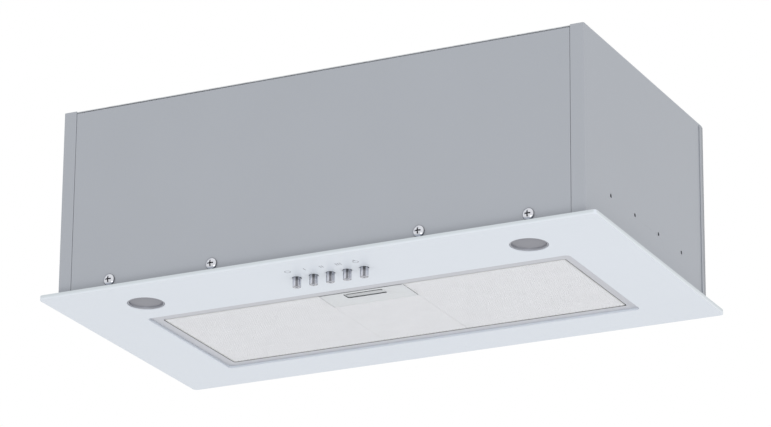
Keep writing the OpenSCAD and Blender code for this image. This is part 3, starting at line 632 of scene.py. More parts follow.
@dataclass(frozen=True)
class LatchPlastic(Moulded):
    """Moulded plastic whose hollows, between two heights, carry painted shade."""

    mouth: float = -1.75
    floor: float = -1.0

    def dress(self, graph: Graph) -> None:
        """Lays out the moulded surface with painted shade on the walls of its hollows.

        Args:
            graph: The graph of the finish.
        """
        _, _, z = graph.axes()
        # Painted shade on the walls between the two heights.
        inside = z.step(self.mouth * MM, (self.mouth + 0.15) * MM)
        wall = inside * z.step(self.floor * MM, (self.floor + 0.1) * MM, 1.0, 0.0)
        spark = graph.cells(self.texture, "Distance")
        flow = graph.noise(22.0, 2.0, (1.0, 1.0, 0.4))
        face = graph.mix(0.5 * flow + 0.5 * spark, tint(self.colour, 0.94), tint(self.colour, 1.06))
        graph.surface(
            base_color=graph.mix(wall, face, tint(self.colour, 0.08)),
            roughness=self.gloss + 0.12 * spark,
            normal=graph.bump(spark, 0.02, 0.7),
        )


@dataclass(frozen=True)
class Frosted(Finish):
    """Frosted lens plastic with fine rings on its face."""

    middle_x: float = 182.0
    middle_y: float = -95.5
    ring: float = 0.8

    def dress(self, graph: Graph) -> None:
        """Lays out the rings, which serve both lamps, the frosting and painted shade towards the rim.

        Args:
            graph: The graph of the finish.
        """
        x, y, _ = graph.axes()
        across = abs(x) - self.middle_x * MM
        along = y - self.middle_y * MM
        radius = (across * across + along * along).of("SQRT")
        rings = (radius * (2.0 * math.pi / (self.ring * MM))).of("SINE") * 0.5 + 0.5
        frost = graph.noise(0.5, 4.0, rough=0.7)
        # Painted shade: the lens darkens towards its rim, next to the lamp cup's wall.
        shade = radius.step(2.0 * MM, 14.5 * MM)
        mass = 0.55 * shade + 0.45 * frost
        graph.surface(
            base_color=graph.mix(mass, tint(self.colour, 1.05), tint(self.colour, 0.93)),
            roughness=0.38 + 0.14 * frost,
            coat_weight=0.15,
            normal=graph.bump(0.7 * rings + 0.3 * frost, 0.02, 0.5),
        )


@dataclass(frozen=True)
class Strand(Finish):
    """Stretched aluminium strands, bright on their ridges."""

    def dress(self, graph: Graph) -> None:
        """Lays out the drawn grain and small changes of brightness from strand to strand.

        Args:
            graph: The graph of the finish.
        """
        grain = graph.noise(0.25, 2.0, (1.0, 0.3, 1.0))
        patch = graph.noise(26.0, 3.0, (1.0, 1.6, 1.0), 0.6)
        mass = 0.4 * grain + 0.6 * patch
        graph.surface(
            base_color=graph.mix(mass, tint(self.colour, 0.93), tint(self.colour, 1.04)),
            metallic=0.3,
            roughness=0.4 + 0.15 * grain,
            normal=graph.bump(grain, 0.01),
        )


@dataclass(frozen=True)
class Layers(Finish):
    """Inner layers of a mesh filter: crossed diamonds that fade into shade."""

    long_way: float = 4.2
    short_way: float = 2.6
    strand: float = 0.3

    def dress(self, graph: Graph) -> None:
        """Lays out two crossed sets of strands over a darker ground.

        Args:
            graph: The graph of the finish.
        """
        x, y, _ = graph.axes()
        u = x / (self.long_way * MM)
        v = y / (self.short_way * MM)
        first = abs((u + v).of("FRACT") - 0.5)
        second = abs((u - v).of("FRACT") - 0.5)
        strands = first.of("MAXIMUM", second).step(0.5 - self.strand, 0.5 - 0.5 * self.strand)
        patch = graph.noise(18.0, 3.0)
        bright = graph.mix(patch, tint(self.colour, 0.92), tint(self.colour, 1.03))
        graph.surface(
            base_color=graph.mix(strands, tint(self.colour, 0.62), bright),
            metallic=0.25,
            roughness=0.5 - 0.12 * strands,
            normal=graph.bump(strands, 0.25, 0.8),
        )


@dataclass(frozen=True)
class Rubber(Finish):
    """Matt black rubber or soft sheathing with a bloom of dust."""

    def dress(self, graph: Graph) -> None:
        """Lays out the bloom and a fine grain.

        Args:
            graph: The graph of the finish.
        """
        bloom = graph.noise(2.5, 5.0, rough=0.7)
        graph.surface(
            base_color=graph.mix(bloom, tint(self.colour, 0.75), tint(self.colour, 1.6)),
            roughness=0.62 + 0.2 * bloom,
            normal=graph.bump(graph.noise(0.3, 2.0), 0.01, 0.6),
        )


@dataclass(frozen=True)
class Board(Finish):
    """White lamp board with solder pads and fine copper edges under the lacquer."""

    def dress(self, graph: Graph) -> None:
        """Lays out pads and tracks.

        Args:
            graph: The graph of the finish.
        """
        pads = graph.cells(2.4, "Distance").step(0.16, 0.2, 1.0, 0.0)
        tracks = graph.cells(5.0, "Distance", "DISTANCE_TO_EDGE").step(0.03, 0.05, 1.0, 0.0)
        ground = graph.mix(tracks * 0.5, self.colour, tint(self.colour, 0.8))
        graph.surface(
            base_color=graph.mix(pads, ground, display(205, 208, 206)),
            metallic=pads * 0.8,
            roughness=0.35 + 0.15 * graph.noise(1.0),
            normal=graph.bump(pads + 0.5 * tracks, 0.04, 0.6),
        )


@dataclass(frozen=True)
class Ink(Finish):
    """Screen print on glass."""

    def dress(self, graph: Graph) -> None:
        """Lays out the slightly uneven cover of the print.

        Args:
            graph: The graph of the finish.
        """
        cover = graph.noise(0.6, 3.0)
        graph.surface(
            base_color=graph.mix(cover, tint(self.colour, 0.94), tint(self.colour, 1.06)),
            roughness=0.35 + 0.1 * cover,
        )


@dataclass(frozen=True)
class Plaster(Finish):
    """Plain pale floor."""

    def dress(self, graph: Graph) -> None:
        """Lays out a barely uneven matt surface.

        Args:
            graph: The graph of the finish.
        """
        cloud = graph.noise(900.0, 3.0)
        graph.surface(
            base_color=graph.mix(cloud, tint(self.colour, 0.98), self.colour),
            roughness=0.85,
        )


class Shop:
    """Every finish of the hood."""

    GLASS = BackedGlass("white_glass", display(213, 219, 228), "white_glass")
    BOND = Rubber("bond_tape", display(62, 62, 64), "bond_tape")
    PAINT = PowderPaint("shell_paint", display(165, 169, 176), "shell_paint")
    ZINC_SHEET = Galvanised("galvanised", display(196, 199, 203), "galvanised")
    FRAME = FrameSheet("frame_steel", display(197, 199, 206), "frame_steel")
    CHROME = PanHead("screw_chrome", display(216, 218, 224), "screw_chrome")
    ZINC = Plated("zinc", display(186, 188, 186), "zinc", 0.26, 0.18)
    DUCT = Moulded("duct_plastic", display(66, 68, 72), "duct_plastic", 0.5, 0.7)
    SCROLL = Galvanised("scroll_sheet", display(188, 191, 194), "scroll_plastic", 5.0)
    WHEEL = Moulded("impeller_plastic", display(74, 78, 82), "impeller_plastic", 0.4, 0.4)
    MOTOR = BrushedMetal("motor_steel", display(150, 151, 154), "motor_steel", Grain.ALONG, 0.38, 0.9)
    RUBBER = Rubber("rubber_black", display(40, 40, 41), "rubber_black")
    CAPACITOR = Moulded("capacitor_case", display(226, 226, 222), "capacitor_case", 0.35, 0.6)
    BOX = Moulded("box_plastic", display(222, 222, 217), "box_plastic", 0.45, 0.5)
    NYLON = Moulded("terminal_nylon", display(233, 229, 215), "terminal_nylon", 0.4, 0.4)
    GLAND = Moulded("gland_nylon", display(198, 199, 200), "gland_nylon", 0.42, 0.5)
    DRIVER = Moulded("driver_case", display(236, 236, 234), "driver_case", 0.42, 0.6)
    SWITCH = Moulded("switch_plastic", display(46, 46, 49), "switch_plastic", 0.42, 0.5)
    KEY = KeyChrome("button_chrome", display(205, 207, 216), "button_chrome")
    SPRING = Plated("spring_steel", display(168, 168, 168), "spring_steel", 0.24, 0.12)
    LAMP = BrushedMetal("lamp_alloy", display(166, 168, 176), "lamp_alloy", Grain.NONE, 0.4, 0.6)
    LENS = Frosted("lens_frosted", display(125, 126, 135), "lens_frosted")
    BOARD = Board("led_board", display(236, 236, 226), "led_board")
    MESH = Strand("filter_mesh", display(246, 247, 251), "filter_mesh")
    LAYERS = Layers("filter_layers", display(241, 242, 246), "filter_mesh")
    RIM = BrushedMetal("filter_rim", display(214, 215, 217), "filter_mesh", Grain.ALONG, 0.38, 0.4)
    LATCH = LatchPlastic("latch_plastic", display(208, 211, 215), "latch_plastic", 0.42, 0.45)
    SHEATH = Rubber("wire_sheath", display(44, 44, 46), "wire_pvc")
    INK = Ink("print_ink", display(138, 142, 152), "white_glass")
    FLOOR = Plaster("floor", display(244, 244, 243))


# ---- shaping ----


def faces_of(result: Mapping[str, Any]) -> list[bmesh.types.BMFace]:
    """The faces in the result of a bmesh operator."""
    return [g for g in result["geom"] if isinstance(g, bmesh.types.BMFace)]


def verts_of(result: Mapping[str, Any]) -> list[bmesh.types.BMVert]:
    """The vertices in the result of a bmesh operator."""
    return [g for g in result["geom"] if isinstance(g, bmesh.types.BMVert)]


class Blank:
    """A flat sheet cut from outlines in its own X and Y plane."""

    def __init__(self) -> None:
        """Starts with no outline."""
        self.bm = bmesh.new()

    def rectangle(
        self, x0: float, x1: float, y0: float, y1: float, radius: float = 0.0, steps: int = 6,
    ) -> "Blank":
        """Adds a rectangular outline.

        Args:
            x0: Left side, in millimetres.
            x1: Right side.
            y0: Lower side.
            y1: Upper side.
            radius: Radius of the corners.
            steps: Straight parts in each corner.

        Returns:
            The blank itself.
        """
        places = ((x0, y0), (x1, y0), (x1, y1), (x0, y1))
        corners = [self.bm.verts.new((x * MM, y * MM, 0.0)) for x, y in places]
        face = self.bm.faces.new(corners)
        if radius:
            bent = bmesh.ops.bevel(
                self.bm, geom=corners, offset=radius * MM, offset_type="OFFSET", segments=steps,
                profile=0.5, affect="VERTICES", material=-1,
            )
            face = next(f for v in bent["verts"] for f in v.link_faces)
        bmesh.ops.delete(self.bm, geom=[face], context="FACES_ONLY")
        return self

    def circle(self, x: float, y: float, radius: float, steps: int = 64) -> "Blank":
        """Adds a round outline.

        Args:
            x: Middle along X, in millimetres.
            y: Middle along Y.
            radius: Radius of the outline.
            steps: Straight parts in it.

        Returns:
            The blank itself.
        """
        bmesh.ops.create_circle(
            self.bm, cap_ends=False, radius=radius * MM, segments=steps,
            matrix=Matrix.Translation((x * MM, y * MM, 0.0)),
        )
        return self

    def sheet(self, low: float, high: float) -> bmesh.types.BMesh:
        """Fills the outlines and gives the sheet its thickness.

        Args:
            low: Height of the lower face, in millimetres.
            high: Height of the upper face.

        Returns:
            The closed sheet.
        """
        filled = bmesh.ops.triangle_fill(self.bm, use_beauty=True, use_dissolve=False, edges=self.bm.edges[:])
        bmesh.ops.translate(self.bm, verts=self.bm.verts[:], vec=(0.0, 0.0, low * MM))
        grown = bmesh.ops.extrude_face_region(self.bm, geom=faces_of(filled))
        bmesh.ops.translate(self.bm, verts=verts_of(grown), vec=(0.0, 0.0, (high - low) * MM))
        bmesh.ops.recalc_face_normals(self.bm, faces=self.bm.faces[:])
        return self.bm


def bend(
    bm: bmesh.types.BMesh, outward: Point, at: float, centre: Point, axis: Point, angle: float, reach: float
) -> None:
    """Bends the end of a sheet and runs it on.

    Args:
        bm: The sheet.
        outward: Direction that the end faces.
        at: Place of the end along that direction, in millimetres.
        centre: A point on the axis of the bend.
        axis: Direction of the axis.
        angle: Angle of the bend, in degrees.
        reach: Length of the straight part after the bend.
    """
    steps = 5
    way = Vector(outward)
    end = next(
        f for f in bm.faces
        if f.normal.dot(way) > 0.99 and abs(f.calc_center_median().dot(way) - at * MM) < 0.02 * MM
    )
    turn = Matrix.Rotation(math.radians(angle / steps), 3, Vector(axis))
    for _ in range(steps):
        grown = bmesh.ops.extrude_face_region(bm, geom=[end])
        bmesh.ops.rotate(bm, cent=Vector(centre) * MM, matrix=turn, verts=verts_of(grown))
        end = faces_of(grown)[0]
    end.normal_update()
    forward = end.normal.copy()
    grown = bmesh.ops.extrude_face_region(bm, geom=[end])
    bmesh.ops.translate(bm, verts=verts_of(grown), vec=forward * reach * MM)


def block(bm: bmesh.types.BMesh, x0: float, x1: float, y0: float, y1: float, z0: float, z1: float) -> None:
    """Adds a rectangular bar.

    Args:
        bm: The mesh that it joins.
        x0: Left side, in millimetres.
        x1: Right side.
        y0: Front side.
        y1: Back side.
        z0: Lower side.
        z1: Upper side.
    """
    middle = Vector(((x0 + x1) / 2, (y0 + y1) / 2, (z0 + z1) / 2)) * MM
    size = Matrix.Diagonal((abs(x1 - x0) * MM, abs(y1 - y0) * MM, abs(z1 - z0) * MM, 1.0))
    bmesh.ops.create_cube(bm, size=1.0, matrix=Matrix.Translation(middle) @ size)


def turned(
    bm: bmesh.types.BMesh, profile: Sequence[tuple[float, float]], matrix: Matrix, steps: int = 48,
) -> None:
    """Adds a solid of revolution about Z.

    Args:
        bm: The mesh that it joins.
        profile: Radius and height of each point, in millimetres, from axis to axis or closed.
        matrix: Where the solid goes.
        steps: Parts in a full turn.
    """
    points = [bm.verts.new((r * MM, 0.0, z * MM)) for r, z in profile]
    lines = [bm.edges.new(pair) for pair in zip(points, points[1:])]
    if profile[0][0] > 0.0:
        lines.append(bm.edges.new((points[-1], points[0])))
    old = set(bm.verts) - set(points)
    bmesh.ops.spin(
        bm, geom=points + lines, cent=(0.0, 0.0, 0.0), axis=(0.0, 0.0, 1.0), dvec=(0.0, 0.0, 0.0),
        angle=2.0 * math.pi, steps=steps, use_merge=True, use_duplicate=False,
    )
    made = [v for v in bm.verts if v not in old]
    bmesh.ops.remove_doubles(bm, verts=made, dist=1e-7)
    made = [v for v in bm.verts if v not in old]
    skin = list({f for v in made for f in v.link_faces})
    bmesh.ops.recalc_face_normals(bm, faces=skin)
    bmesh.ops.transform(bm, matrix=matrix, verts=made)


def copied(node: str) -> bmesh.types.BMesh:
    """Copies a node's mesh, merged and with its flat faces made whole.

    Args:
        node: Name of the node.

    Returns:
        The copy.
    """
    bm = bmesh.new()
    bm.from_mesh(frame["nodes"][node].data)
    bmesh.ops.remove_doubles(bm, verts=bm.verts[:], dist=WELD)
    bmesh.ops.dissolve_degenerate(bm, edges=bm.edges[:], dist=THIN)
    bmesh.ops.dissolve_limit(
        bm, angle_limit=FLAT, use_dissolve_boundaries=False, verts=bm.verts[:], edges=bm.edges[:],
    )
    return bm


def body_of(node: str) -> str:
    """Finds a node's body.

    Args:
        node: Name of the node.

    Returns:
        Name of the body that it belongs to.
    """
    bodies = frame["record"]["behaviour"]["bodies"]
    return next(name for name, members in bodies.items() if node in members)


def settle(
    bm: bmesh.types.BMesh,
    name: str,
    finish: Finish,
    body: str,
    stands_for: Iterable[str] = (),
    edge: float = 0.0,
    segments: int = 2,
    sharp: float = 32.0,
) -> bpy.types.Object:
    """Makes an object of a mesh, dresses it and joins it to its body.

    Args:
        bm: The mesh, which is used up.
        name: Name of the object.
        finish: Finish of the object.
        body: Body that the object rides on.
        stands_for: Nodes of the frame that it replaces.
        edge: Radius of its edges, in millimetres, or zero for none.
        segments: Parts across a rounded edge.
        sharp: Angle in degrees past which an edge is sharp.

    Returns:
        The object.
    """
    mesh = bpy.data.meshes.new(name)
    bm.to_mesh(mesh)
    bm.free()
    mesh.shade_smooth()
    item = bpy.data.objects.new(name, mesh)
    bpy.context.scene.collection.objects.link(item)
    mesh.materials.append(finish.material())
    if edge:
        round_off = item.modifiers.new("edges", "BEVEL")
        round_off.width = edge * MM
        round_off.segments = segments
        round_off.limit_method = "ANGLE"
        round_off.angle_limit = math.radians(sharp)
        round_off.harden_normals = True
        round_off.miter_outer = "MITER_SHARP"
    else:
        mesh.set_sharp_from_angle(angle=math.radians(sharp))
    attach(item, str(getattr(body, "value", body)))
    nodes = list(stands_for)
    if nodes:
        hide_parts(*nodes)
    LOG.info("%s: %d faces, on %s", name, len(mesh.polygons), str(getattr(body, "value", body)))
    return item


class Assembly:
    """What the sub-assemblies share."""

    def soften(self, finish: Finish, edge: float, *nodes: str, segments: int = 2) -> None:
        """Shows nodes as copies with rounded edges.

        Args:
            finish: Their finish.
            edge: Radius of their edges, in millimetres.
            *nodes: Names of the nodes.
            segments: Parts across an edge.
        """
        for node in nodes:
            settle(copied(node), node + "_made", finish, body_of(node), [node], edge, segments)

    def spring(
        self, name: str, node: str, joint: str, way: Point, travel: float, middle: float, reach: float,
    ) -> None:
        """Shows one spring of a node as a piece of its own.

        Args:
            name: Name of the piece.
            node: Node that holds the spring, and may hold others beside it.
            joint: Joint that presses the spring; not used.
            way: Direction from the pressed end to the held end, along one axis; not used.
            travel: How far the joint presses it, in millimetres; not used.
            middle: The x of the spring's middle, in millimetres.
            reach: Farthest that the spring goes from it along x.
        """
        bm = copied(node)
        others = [v for v in bm.verts if abs(v.co.x - middle * MM) > reach * MM]
        bmesh.ops.delete(bm, geom=others, context="VERTS")
        item = settle(bm, name, Shop.SPRING, body_of(node), [node])
        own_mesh(item)

    def build(self) -> None:
        """Builds every piece of the sub-assembly."""
        raise NotImplementedError


# ---- sub-assemblies ----


@dataclass
class GlassTop(Assembly):
    """The white glass panel, its bond and the printed marks."""

    width: float = 525.0
    depth: float = 285.0
    thick: float = 4.0
    corner: float = 4.0
    cut_half: float = 202.0
    cut_front: float = -58.5
    cut_back: float = 98.0
    cut_corner: float = 4.5
    lamp_x: float = 182.0
    lamp_y: float = -95.5
    lamp_r: float = 16.5
    key_pitch: float = 16.0
    key_y: float = -101.0
    key_r: float = 4.2
    mark_y: float = -118.5
    print_thick: float = 0.05

    def panel(self) -> None:
        """Cuts the panel and arrises its edges."""
        half_x, half_y = self.width / 2, self.depth / 2
        blank = Blank().rectangle(-half_x, half_x, -half_y, half_y, self.corner, 10)
        blank.rectangle(-self.cut_half, self.cut_half, self.cut_front, self.cut_back, self.cut_corner, 8)
        for side in Side:
            blank.circle(side.value * self.lamp_x, self.lamp_y, self.lamp_r, 72)
        for k in range(-2, 3):
            blank.circle(k * self.key_pitch, self.key_y, self.key_r, 40)
        settle(blank.sheet(-self.thick, 0.0), "glass", Shop.GLASS, Body.HOOD, ["glass_panel"], 0.5, 3)

    def stroke(self, bm: bmesh.types.BMesh, x: float, y: float, wide: float, high: float) -> None:
        """Adds one printed bar.

        Args:
            bm: The mesh that it joins.
            x: Middle along X, in millimetres.
            y: Middle along Y.
            wide: Size along X.
            high: Size along Y.
        """
        low = -self.thick - self.print_thick
        block(bm, x - wide / 2, x + wide / 2, y - high / 2, y + high / 2, low, -self.thick)

    def ring(self, bm: bmesh.types.BMesh, x: float, y: float, radius: float, line: float) -> None:
        """Adds one printed ring.

        Args:
            bm: The mesh that it joins.
            x: Middle along X, in millimetres.
            y: Middle along Y.
            radius: Outer radius.
            line: Width of the line.
        """
        low = -self.thick - self.print_thick
        outline = [(radius - line, low), (radius, low), (radius, -self.thick), (radius - line, -self.thick)]
        turned(bm, outline, Matrix.Translation((x * MM, y * MM, 0.0)), 32)

    def marks(self) -> None:
        """Prints one plain mark in front of each key: a ring, one to three bars, and a lamp."""
        bm = bmesh.new()
        self.ring(bm, -2 * self.key_pitch, self.mark_y, 2.8, 0.6)
        for count in (1, 2, 3):
            middle = (count - 2) * self.key_pitch
            for k in range(count):
                self.stroke(bm, middle + (k - (count - 1) / 2) * 2.0, self.mark_y, 0.75, 5.0)
        lamp = 2 * self.key_pitch
        self.ring(bm, lamp, self.mark_y + 0.8, 2.7, 0.6)
        self.stroke(bm, lamp, self.mark_y - 2.6, 2.6, 0.6)
        self.stroke(bm, lamp, self.mark_y - 3.8, 1.8, 0.6)
        settle(bm, "printed_marks", Shop.INK, Body.HOOD)

    def build(self) -> None:
        """Builds the panel, the marks and the bond."""
        self.panel()
        self.marks()
        self.soften(Shop.BOND, 0.2, "glass_bond")


@dataclass
class Carrier(Assembly):
    """The steel frame that carries the glass and holds the filter."""

    def build(self) -> None:
        """Rounds the frame's edges."""
        self.soften(Shop.FRAME, 0.18, "base_frame")


@dataclass
class Shell(Assembly):
    """The folded body: two sides, front, back, top, rivets and screws."""

    half_x: float = 249.0
    half_y: float = 132.5
    sheet: float = 0.8
    low: float = 0.2
    high: float = 171.0
    top: float = 169.4
    fold: float = 1.3
    flap: float = 12.5
    seam: float = 0.4
    wrap: float = 8.0
    flange: float = 12.0
    lap: float = 9.0
    hole_r: float = 1.75
    hole_pitch: float = 52.0
    hole_z: float = 35.0
    lap_low: float = 19.0
    lap_drop: float = 1.6
    rivet_face: float = 170.2
    rivet_ends: float = 110.0
    rivet_inset: float = 6.0
    screw_x: tuple[float, ...] = (-198.0, -98.0, 98.0, 198.0)
    screw_z: float = 8.5
    screw_r: float = 2.1
    upright: Matrix = field(default_factory=lambda: Matrix(((1, 0, 0), (0, 0, -1), (0, 1, 0))))
    sideways: Matrix = field(default_factory=lambda: Matrix(((0, 0, 1), (1, 0, 0), (0, 1, 0))))

    def side_panel(self, side: Side) -> None:
        """Builds one side with its four holes and the return round the front corner.

        Args:
            side: Which side it is.
        """
        blank = Blank().rectangle(-self.half_y + self.fold, self.half_y - self.sheet, self.low, self.high)
        for k in (-1.5, -0.5, 0.5, 1.5):
            blank.circle(k * self.hole_pitch, self.hole_z, self.hole_r, 28)
        bm = blank.sheet(self.half_x - self.sheet, self.half_x)
        bmesh.ops.transform(bm, matrix=self.sideways.to_4x4(), verts=bm.verts[:])
        bm.normal_update()
        hinge = (self.half_x - self.fold, -self.half_y + self.fold, 0.0)
        bend(bm, (0, -1, 0), self.half_y - self.fold, hinge, (0, 0, 1), -90.0, self.flap - self.fold)
        bmesh.ops.scale(bm, vec=(side.value, 1.0, 1.0), verts=bm.verts[:])
        bmesh.ops.recalc_face_normals(bm, faces=bm.faces[:])
        node = "side_panel_" + side.word
        settle(bm, "shell_side_" + side.word, Shop.PAINT, Body.HOOD, [node], 0.14)

    def front(self) -> None:
        """Builds the front with its screw holes, top flange and side laps."""
        half = self.half_x - self.flap - self.seam
        blank = Blank().rectangle(-half, half, self.low, self.top - self.fold)
        for x in self.screw_x:
            blank.circle(x, self.screw_z, self.screw_r, 24)
        bm = blank.sheet(self.half_y - self.sheet, self.half_y)
        bmesh.ops.transform(bm, matrix=self.upright.to_4x4(), verts=bm.verts[:])
        bm.normal_update()
        hinge = (0.0, -self.half_y + self.fold, self.top - self.fold)
        run = self.flange + self.sheet - self.fold
        bend(bm, (0, 0, 1), self.top - self.fold, hinge, (1, 0, 0), -90.0, run)
        inner = self.half_y - self.sheet
        for side in Side:
            ends = sorted((side.value * (half - self.lap), side.value * (self.half_x - self.sheet - 0.1)))
            top = self.top - self.lap_drop
            block(bm, ends[0], ends[1], -inner + 0.01, -inner + self.sheet, self.lap_low, top)
        settle(bm, "shell_front", Shop.PAINT, Body.HOOD, ["front_plate"], 0.14)

    def back(self) -> None:
        """Builds the back with its wraps round the sides and its top flange."""
        reach = self.half_x + self.sheet
        blank = Blank().rectangle(-reach + self.fold, reach - self.fold, self.low, self.top)
        for x in self.screw_x:
            blank.circle(x, self.screw_z, self.screw_r, 24)
        bm = blank.sheet(-self.half_y, -self.half_y + self.sheet)
        bmesh.ops.transform(bm, matrix=self.upright.to_4x4(), verts=bm.verts[:])
        bm.normal_update()
        hinge = (reach - self.fold, self.half_y - self.fold, 0.0)
        bend(bm, (1, 0, 0), reach - self.fold, hinge, (0, 0, 1), -90.0, self.wrap - self.fold)
        hinge = (-reach + self.fold, self.half_y - self.fold, 0.0)
        bend(bm, (-1, 0, 0), reach - self.fold, hinge, (0, 0, 1), 90.0, self.wrap - self.fold)
        inner = self.half_y - self.sheet
        edge = self.half_x - self.sheet - 0.1
        block(bm, -edge, edge, inner - self.flange, inner - 0.01, self.top - self.sheet, self.top)
        settle(bm, "shell_back", Shop.PAINT, Body.HOOD, ["back_plate"], 0.14)

    def rivets(self) -> None:
        """Sets the blind rivets of the top, each with the hole of its pulled stem."""
        bm = bmesh.new()
        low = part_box("shell_rivets")[0].z / MM
        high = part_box("shell_rivets")[1].z / MM
        face = self.rivet_face
        head = [(0.0, low), (1.55, low), (1.55, face), (3.1, face), (3.0, face + 0.35)]
        head += [(2.2, high), (1.0, high), (0.9, high - 0.5), (0.0, high - 0.5)]
        span = 2.0 * self.half_x - self.rivet_ends
        row_y = self.half_y - self.sheet - self.rivet_inset
        for k in range(4):
            for s in (-1, 1):
                place = Vector((-span / 2 + k * span / 3, s * row_y, 0.0))
                turned(bm, head, Matrix.Translation(place * MM), 24)
        settle(bm, "blind_rivets", Shop.ZINC, Body.HOOD, ["shell_rivets"])

    def build(self) -> None:
        """Builds the body."""
        for side in Side:
            self.side_panel(side)
        self.front()
        self.back()
        self.soften(Shop.ZINC_SHEET, 0.15, "top_plate")
        self.soften(Shop.CHROME, 0.16, "panel_screws")
        self.rivets()


@dataclass
class Outlet(Assembly):
    """The duct collar with its pair of check flaps."""

    def build(self) -> None:
        """Rounds the moulded edges."""
        self.soften(Shop.DUCT, 0.5, "outlet_collar", segments=3)
        self.soften(Shop.WHEEL, 0.25, "flap_left", "flap_right")
        self.soften(Shop.ZINC, 0.15, "flap_pin", "collar_screws")


@dataclass
class Blower(Assembly):
    """The scroll, the wheel and the motor."""

    def build(self) -> None:
        """Rounds the sheet edges of the scroll and dresses the wheel and motor."""
        self.soften(Shop.SCROLL, 0.3, "scroll_wrapper", "scroll_cheek_left", "scroll_cheek_right")
        self.soften(Shop.WHEEL, 0.12, "impeller")
        self.soften(Shop.ZINC, 0.14, "blower_screws", "motor_bracket", "impeller_nut")
        self.soften(Shop.SPRING, 0.2, "motor_shaft")
        self.soften(Shop.MOTOR, 0.4, "motor_can")
        self.soften(Shop.RUBBER, 0.3, "motor_grommets")


@dataclass
class Supply(Assembly):
    """The terminal box, cable gland, capacitor, lamp driver and loom."""

    def build(self) -> None:
        """Dresses the electrical pieces."""
        self.soften(Shop.BOX, 0.4, "terminal_box", "terminal_lid")
        self.soften(Shop.NYLON, 0.3, "terminal_block")
        self.soften(Shop.ZINC, 0.14, "lid_screws", "capacitor_clip")
        self.soften(Shop.GLAND, 0.4, "cord_gland", "gland_nut")
        self.soften(Shop.CAPACITOR, 0.5, "run_capacitor")
        self.soften(Shop.DRIVER, 0.8, "lamp_driver", segments=3)
        self.soften(Shop.SHEATH, 0.5, "wiring_loom")


@dataclass
class Keys(Assembly):
    """The switch with its five keys."""

    pitch: float = 16.0
    row_y: float = -101.0
    key_r: float = 3.6
    foot: float = -12.5
    collar_r: float = 5.2
    collar_z: float = 6.0
    collar_h: float = 2.0
    stem_r: float = 2.0
    stem_top: float = 22.5
    dimple_r: float = 0.9
    dimple: float = 0.6
    press: float = 3.0
    names: tuple[str, ...] = (
        "button_off", "button_speed_1", "button_speed_2", "button_speed_3", "button_light",
    )

    def key(self, index: int, node: str) -> None:
        """Turns one key with its dimple, collar and stem.

        Args:
            index: Place in the row, from the left.
            node: Node that it stands for.
        """
        rim = 0.55
        profile = [
            (0.0, self.foot + self.dimple), (self.dimple_r, self.foot + self.dimple),
            (self.dimple_r + 0.12, self.foot), (self.key_r - rim, self.foot),
            (self.key_r - 0.16, self.foot + 0.16), (self.key_r, self.foot + rim), (self.key_r, self.collar_z),
            (self.collar_r, self.collar_z), (self.collar_r, self.collar_z + self.collar_h),
            (self.stem_r, self.collar_z + self.collar_h), (self.stem_r, self.stem_top), (0.0, self.stem_top),
        ]
        bm = bmesh.new()
        place = Matrix.Translation(((index - 2) * self.pitch * MM, self.row_y * MM, 0.0))
        turned(bm, profile, place, 48)
        settle(bm, "key_" + node.removeprefix("button_"), Shop.KEY, node, [node], 0.08)

    def build(self) -> None:
        """Turns the keys and dresses the switch."""
        for index, node in enumerate(self.names):
            self.key(index, node)
            middle = (index - 2) * self.pitch
            name = node.replace("button", "spring")
            joint = node + "_press"
            self.spring(name, "button_springs", joint, (0, 0, 1), self.press, middle, self.pitch / 2)
        self.soften(Shop.SWITCH, 0.4, "switch_housing")
        self.soften(Shop.ZINC, 0.12, "switch_screws")


@dataclass
class Lamps(Assembly):
    """The two recessed lamps."""

    x: float = 182.0
    y: float = -95.5
    lens_r: float = 14.9
    lens_low: float = -2.8
    lens_high: float = -0.8

    def lens(self, side: Side) -> None:
        """Turns one slightly domed lens.

        Args:
            side: Which lamp it belongs to.
        """
        low = self.lens_low
        profile = [(0.0, low), (5.0, low + 0.03), (10.0, low + 0.12), (13.4, low + 0.28), (14.4, low + 0.5)]
        profile += [(self.lens_r, low + 0.6), (self.lens_r, self.lens_high), (0.0, self.lens_high)]
        bm = bmesh.new()
        turned(bm, profile, Matrix.Translation((side.value * self.x * MM, self.y * MM, 0.0)), 64)
        name = "lamp_lens_" + side.word
        settle(bm, "lens_" + side.word, Shop.LENS, Body.HOOD, [name])

    def build(self) -> None:
        """Builds the lenses and dresses the cups and boards."""
        for side in Side:
            self.lens(side)
            self.soften(Shop.LAMP, 0.2, "lamp_housing_" + side.word)
            self.soften(Shop.BOARD, 0.1, "lamp_board_" + side.word)


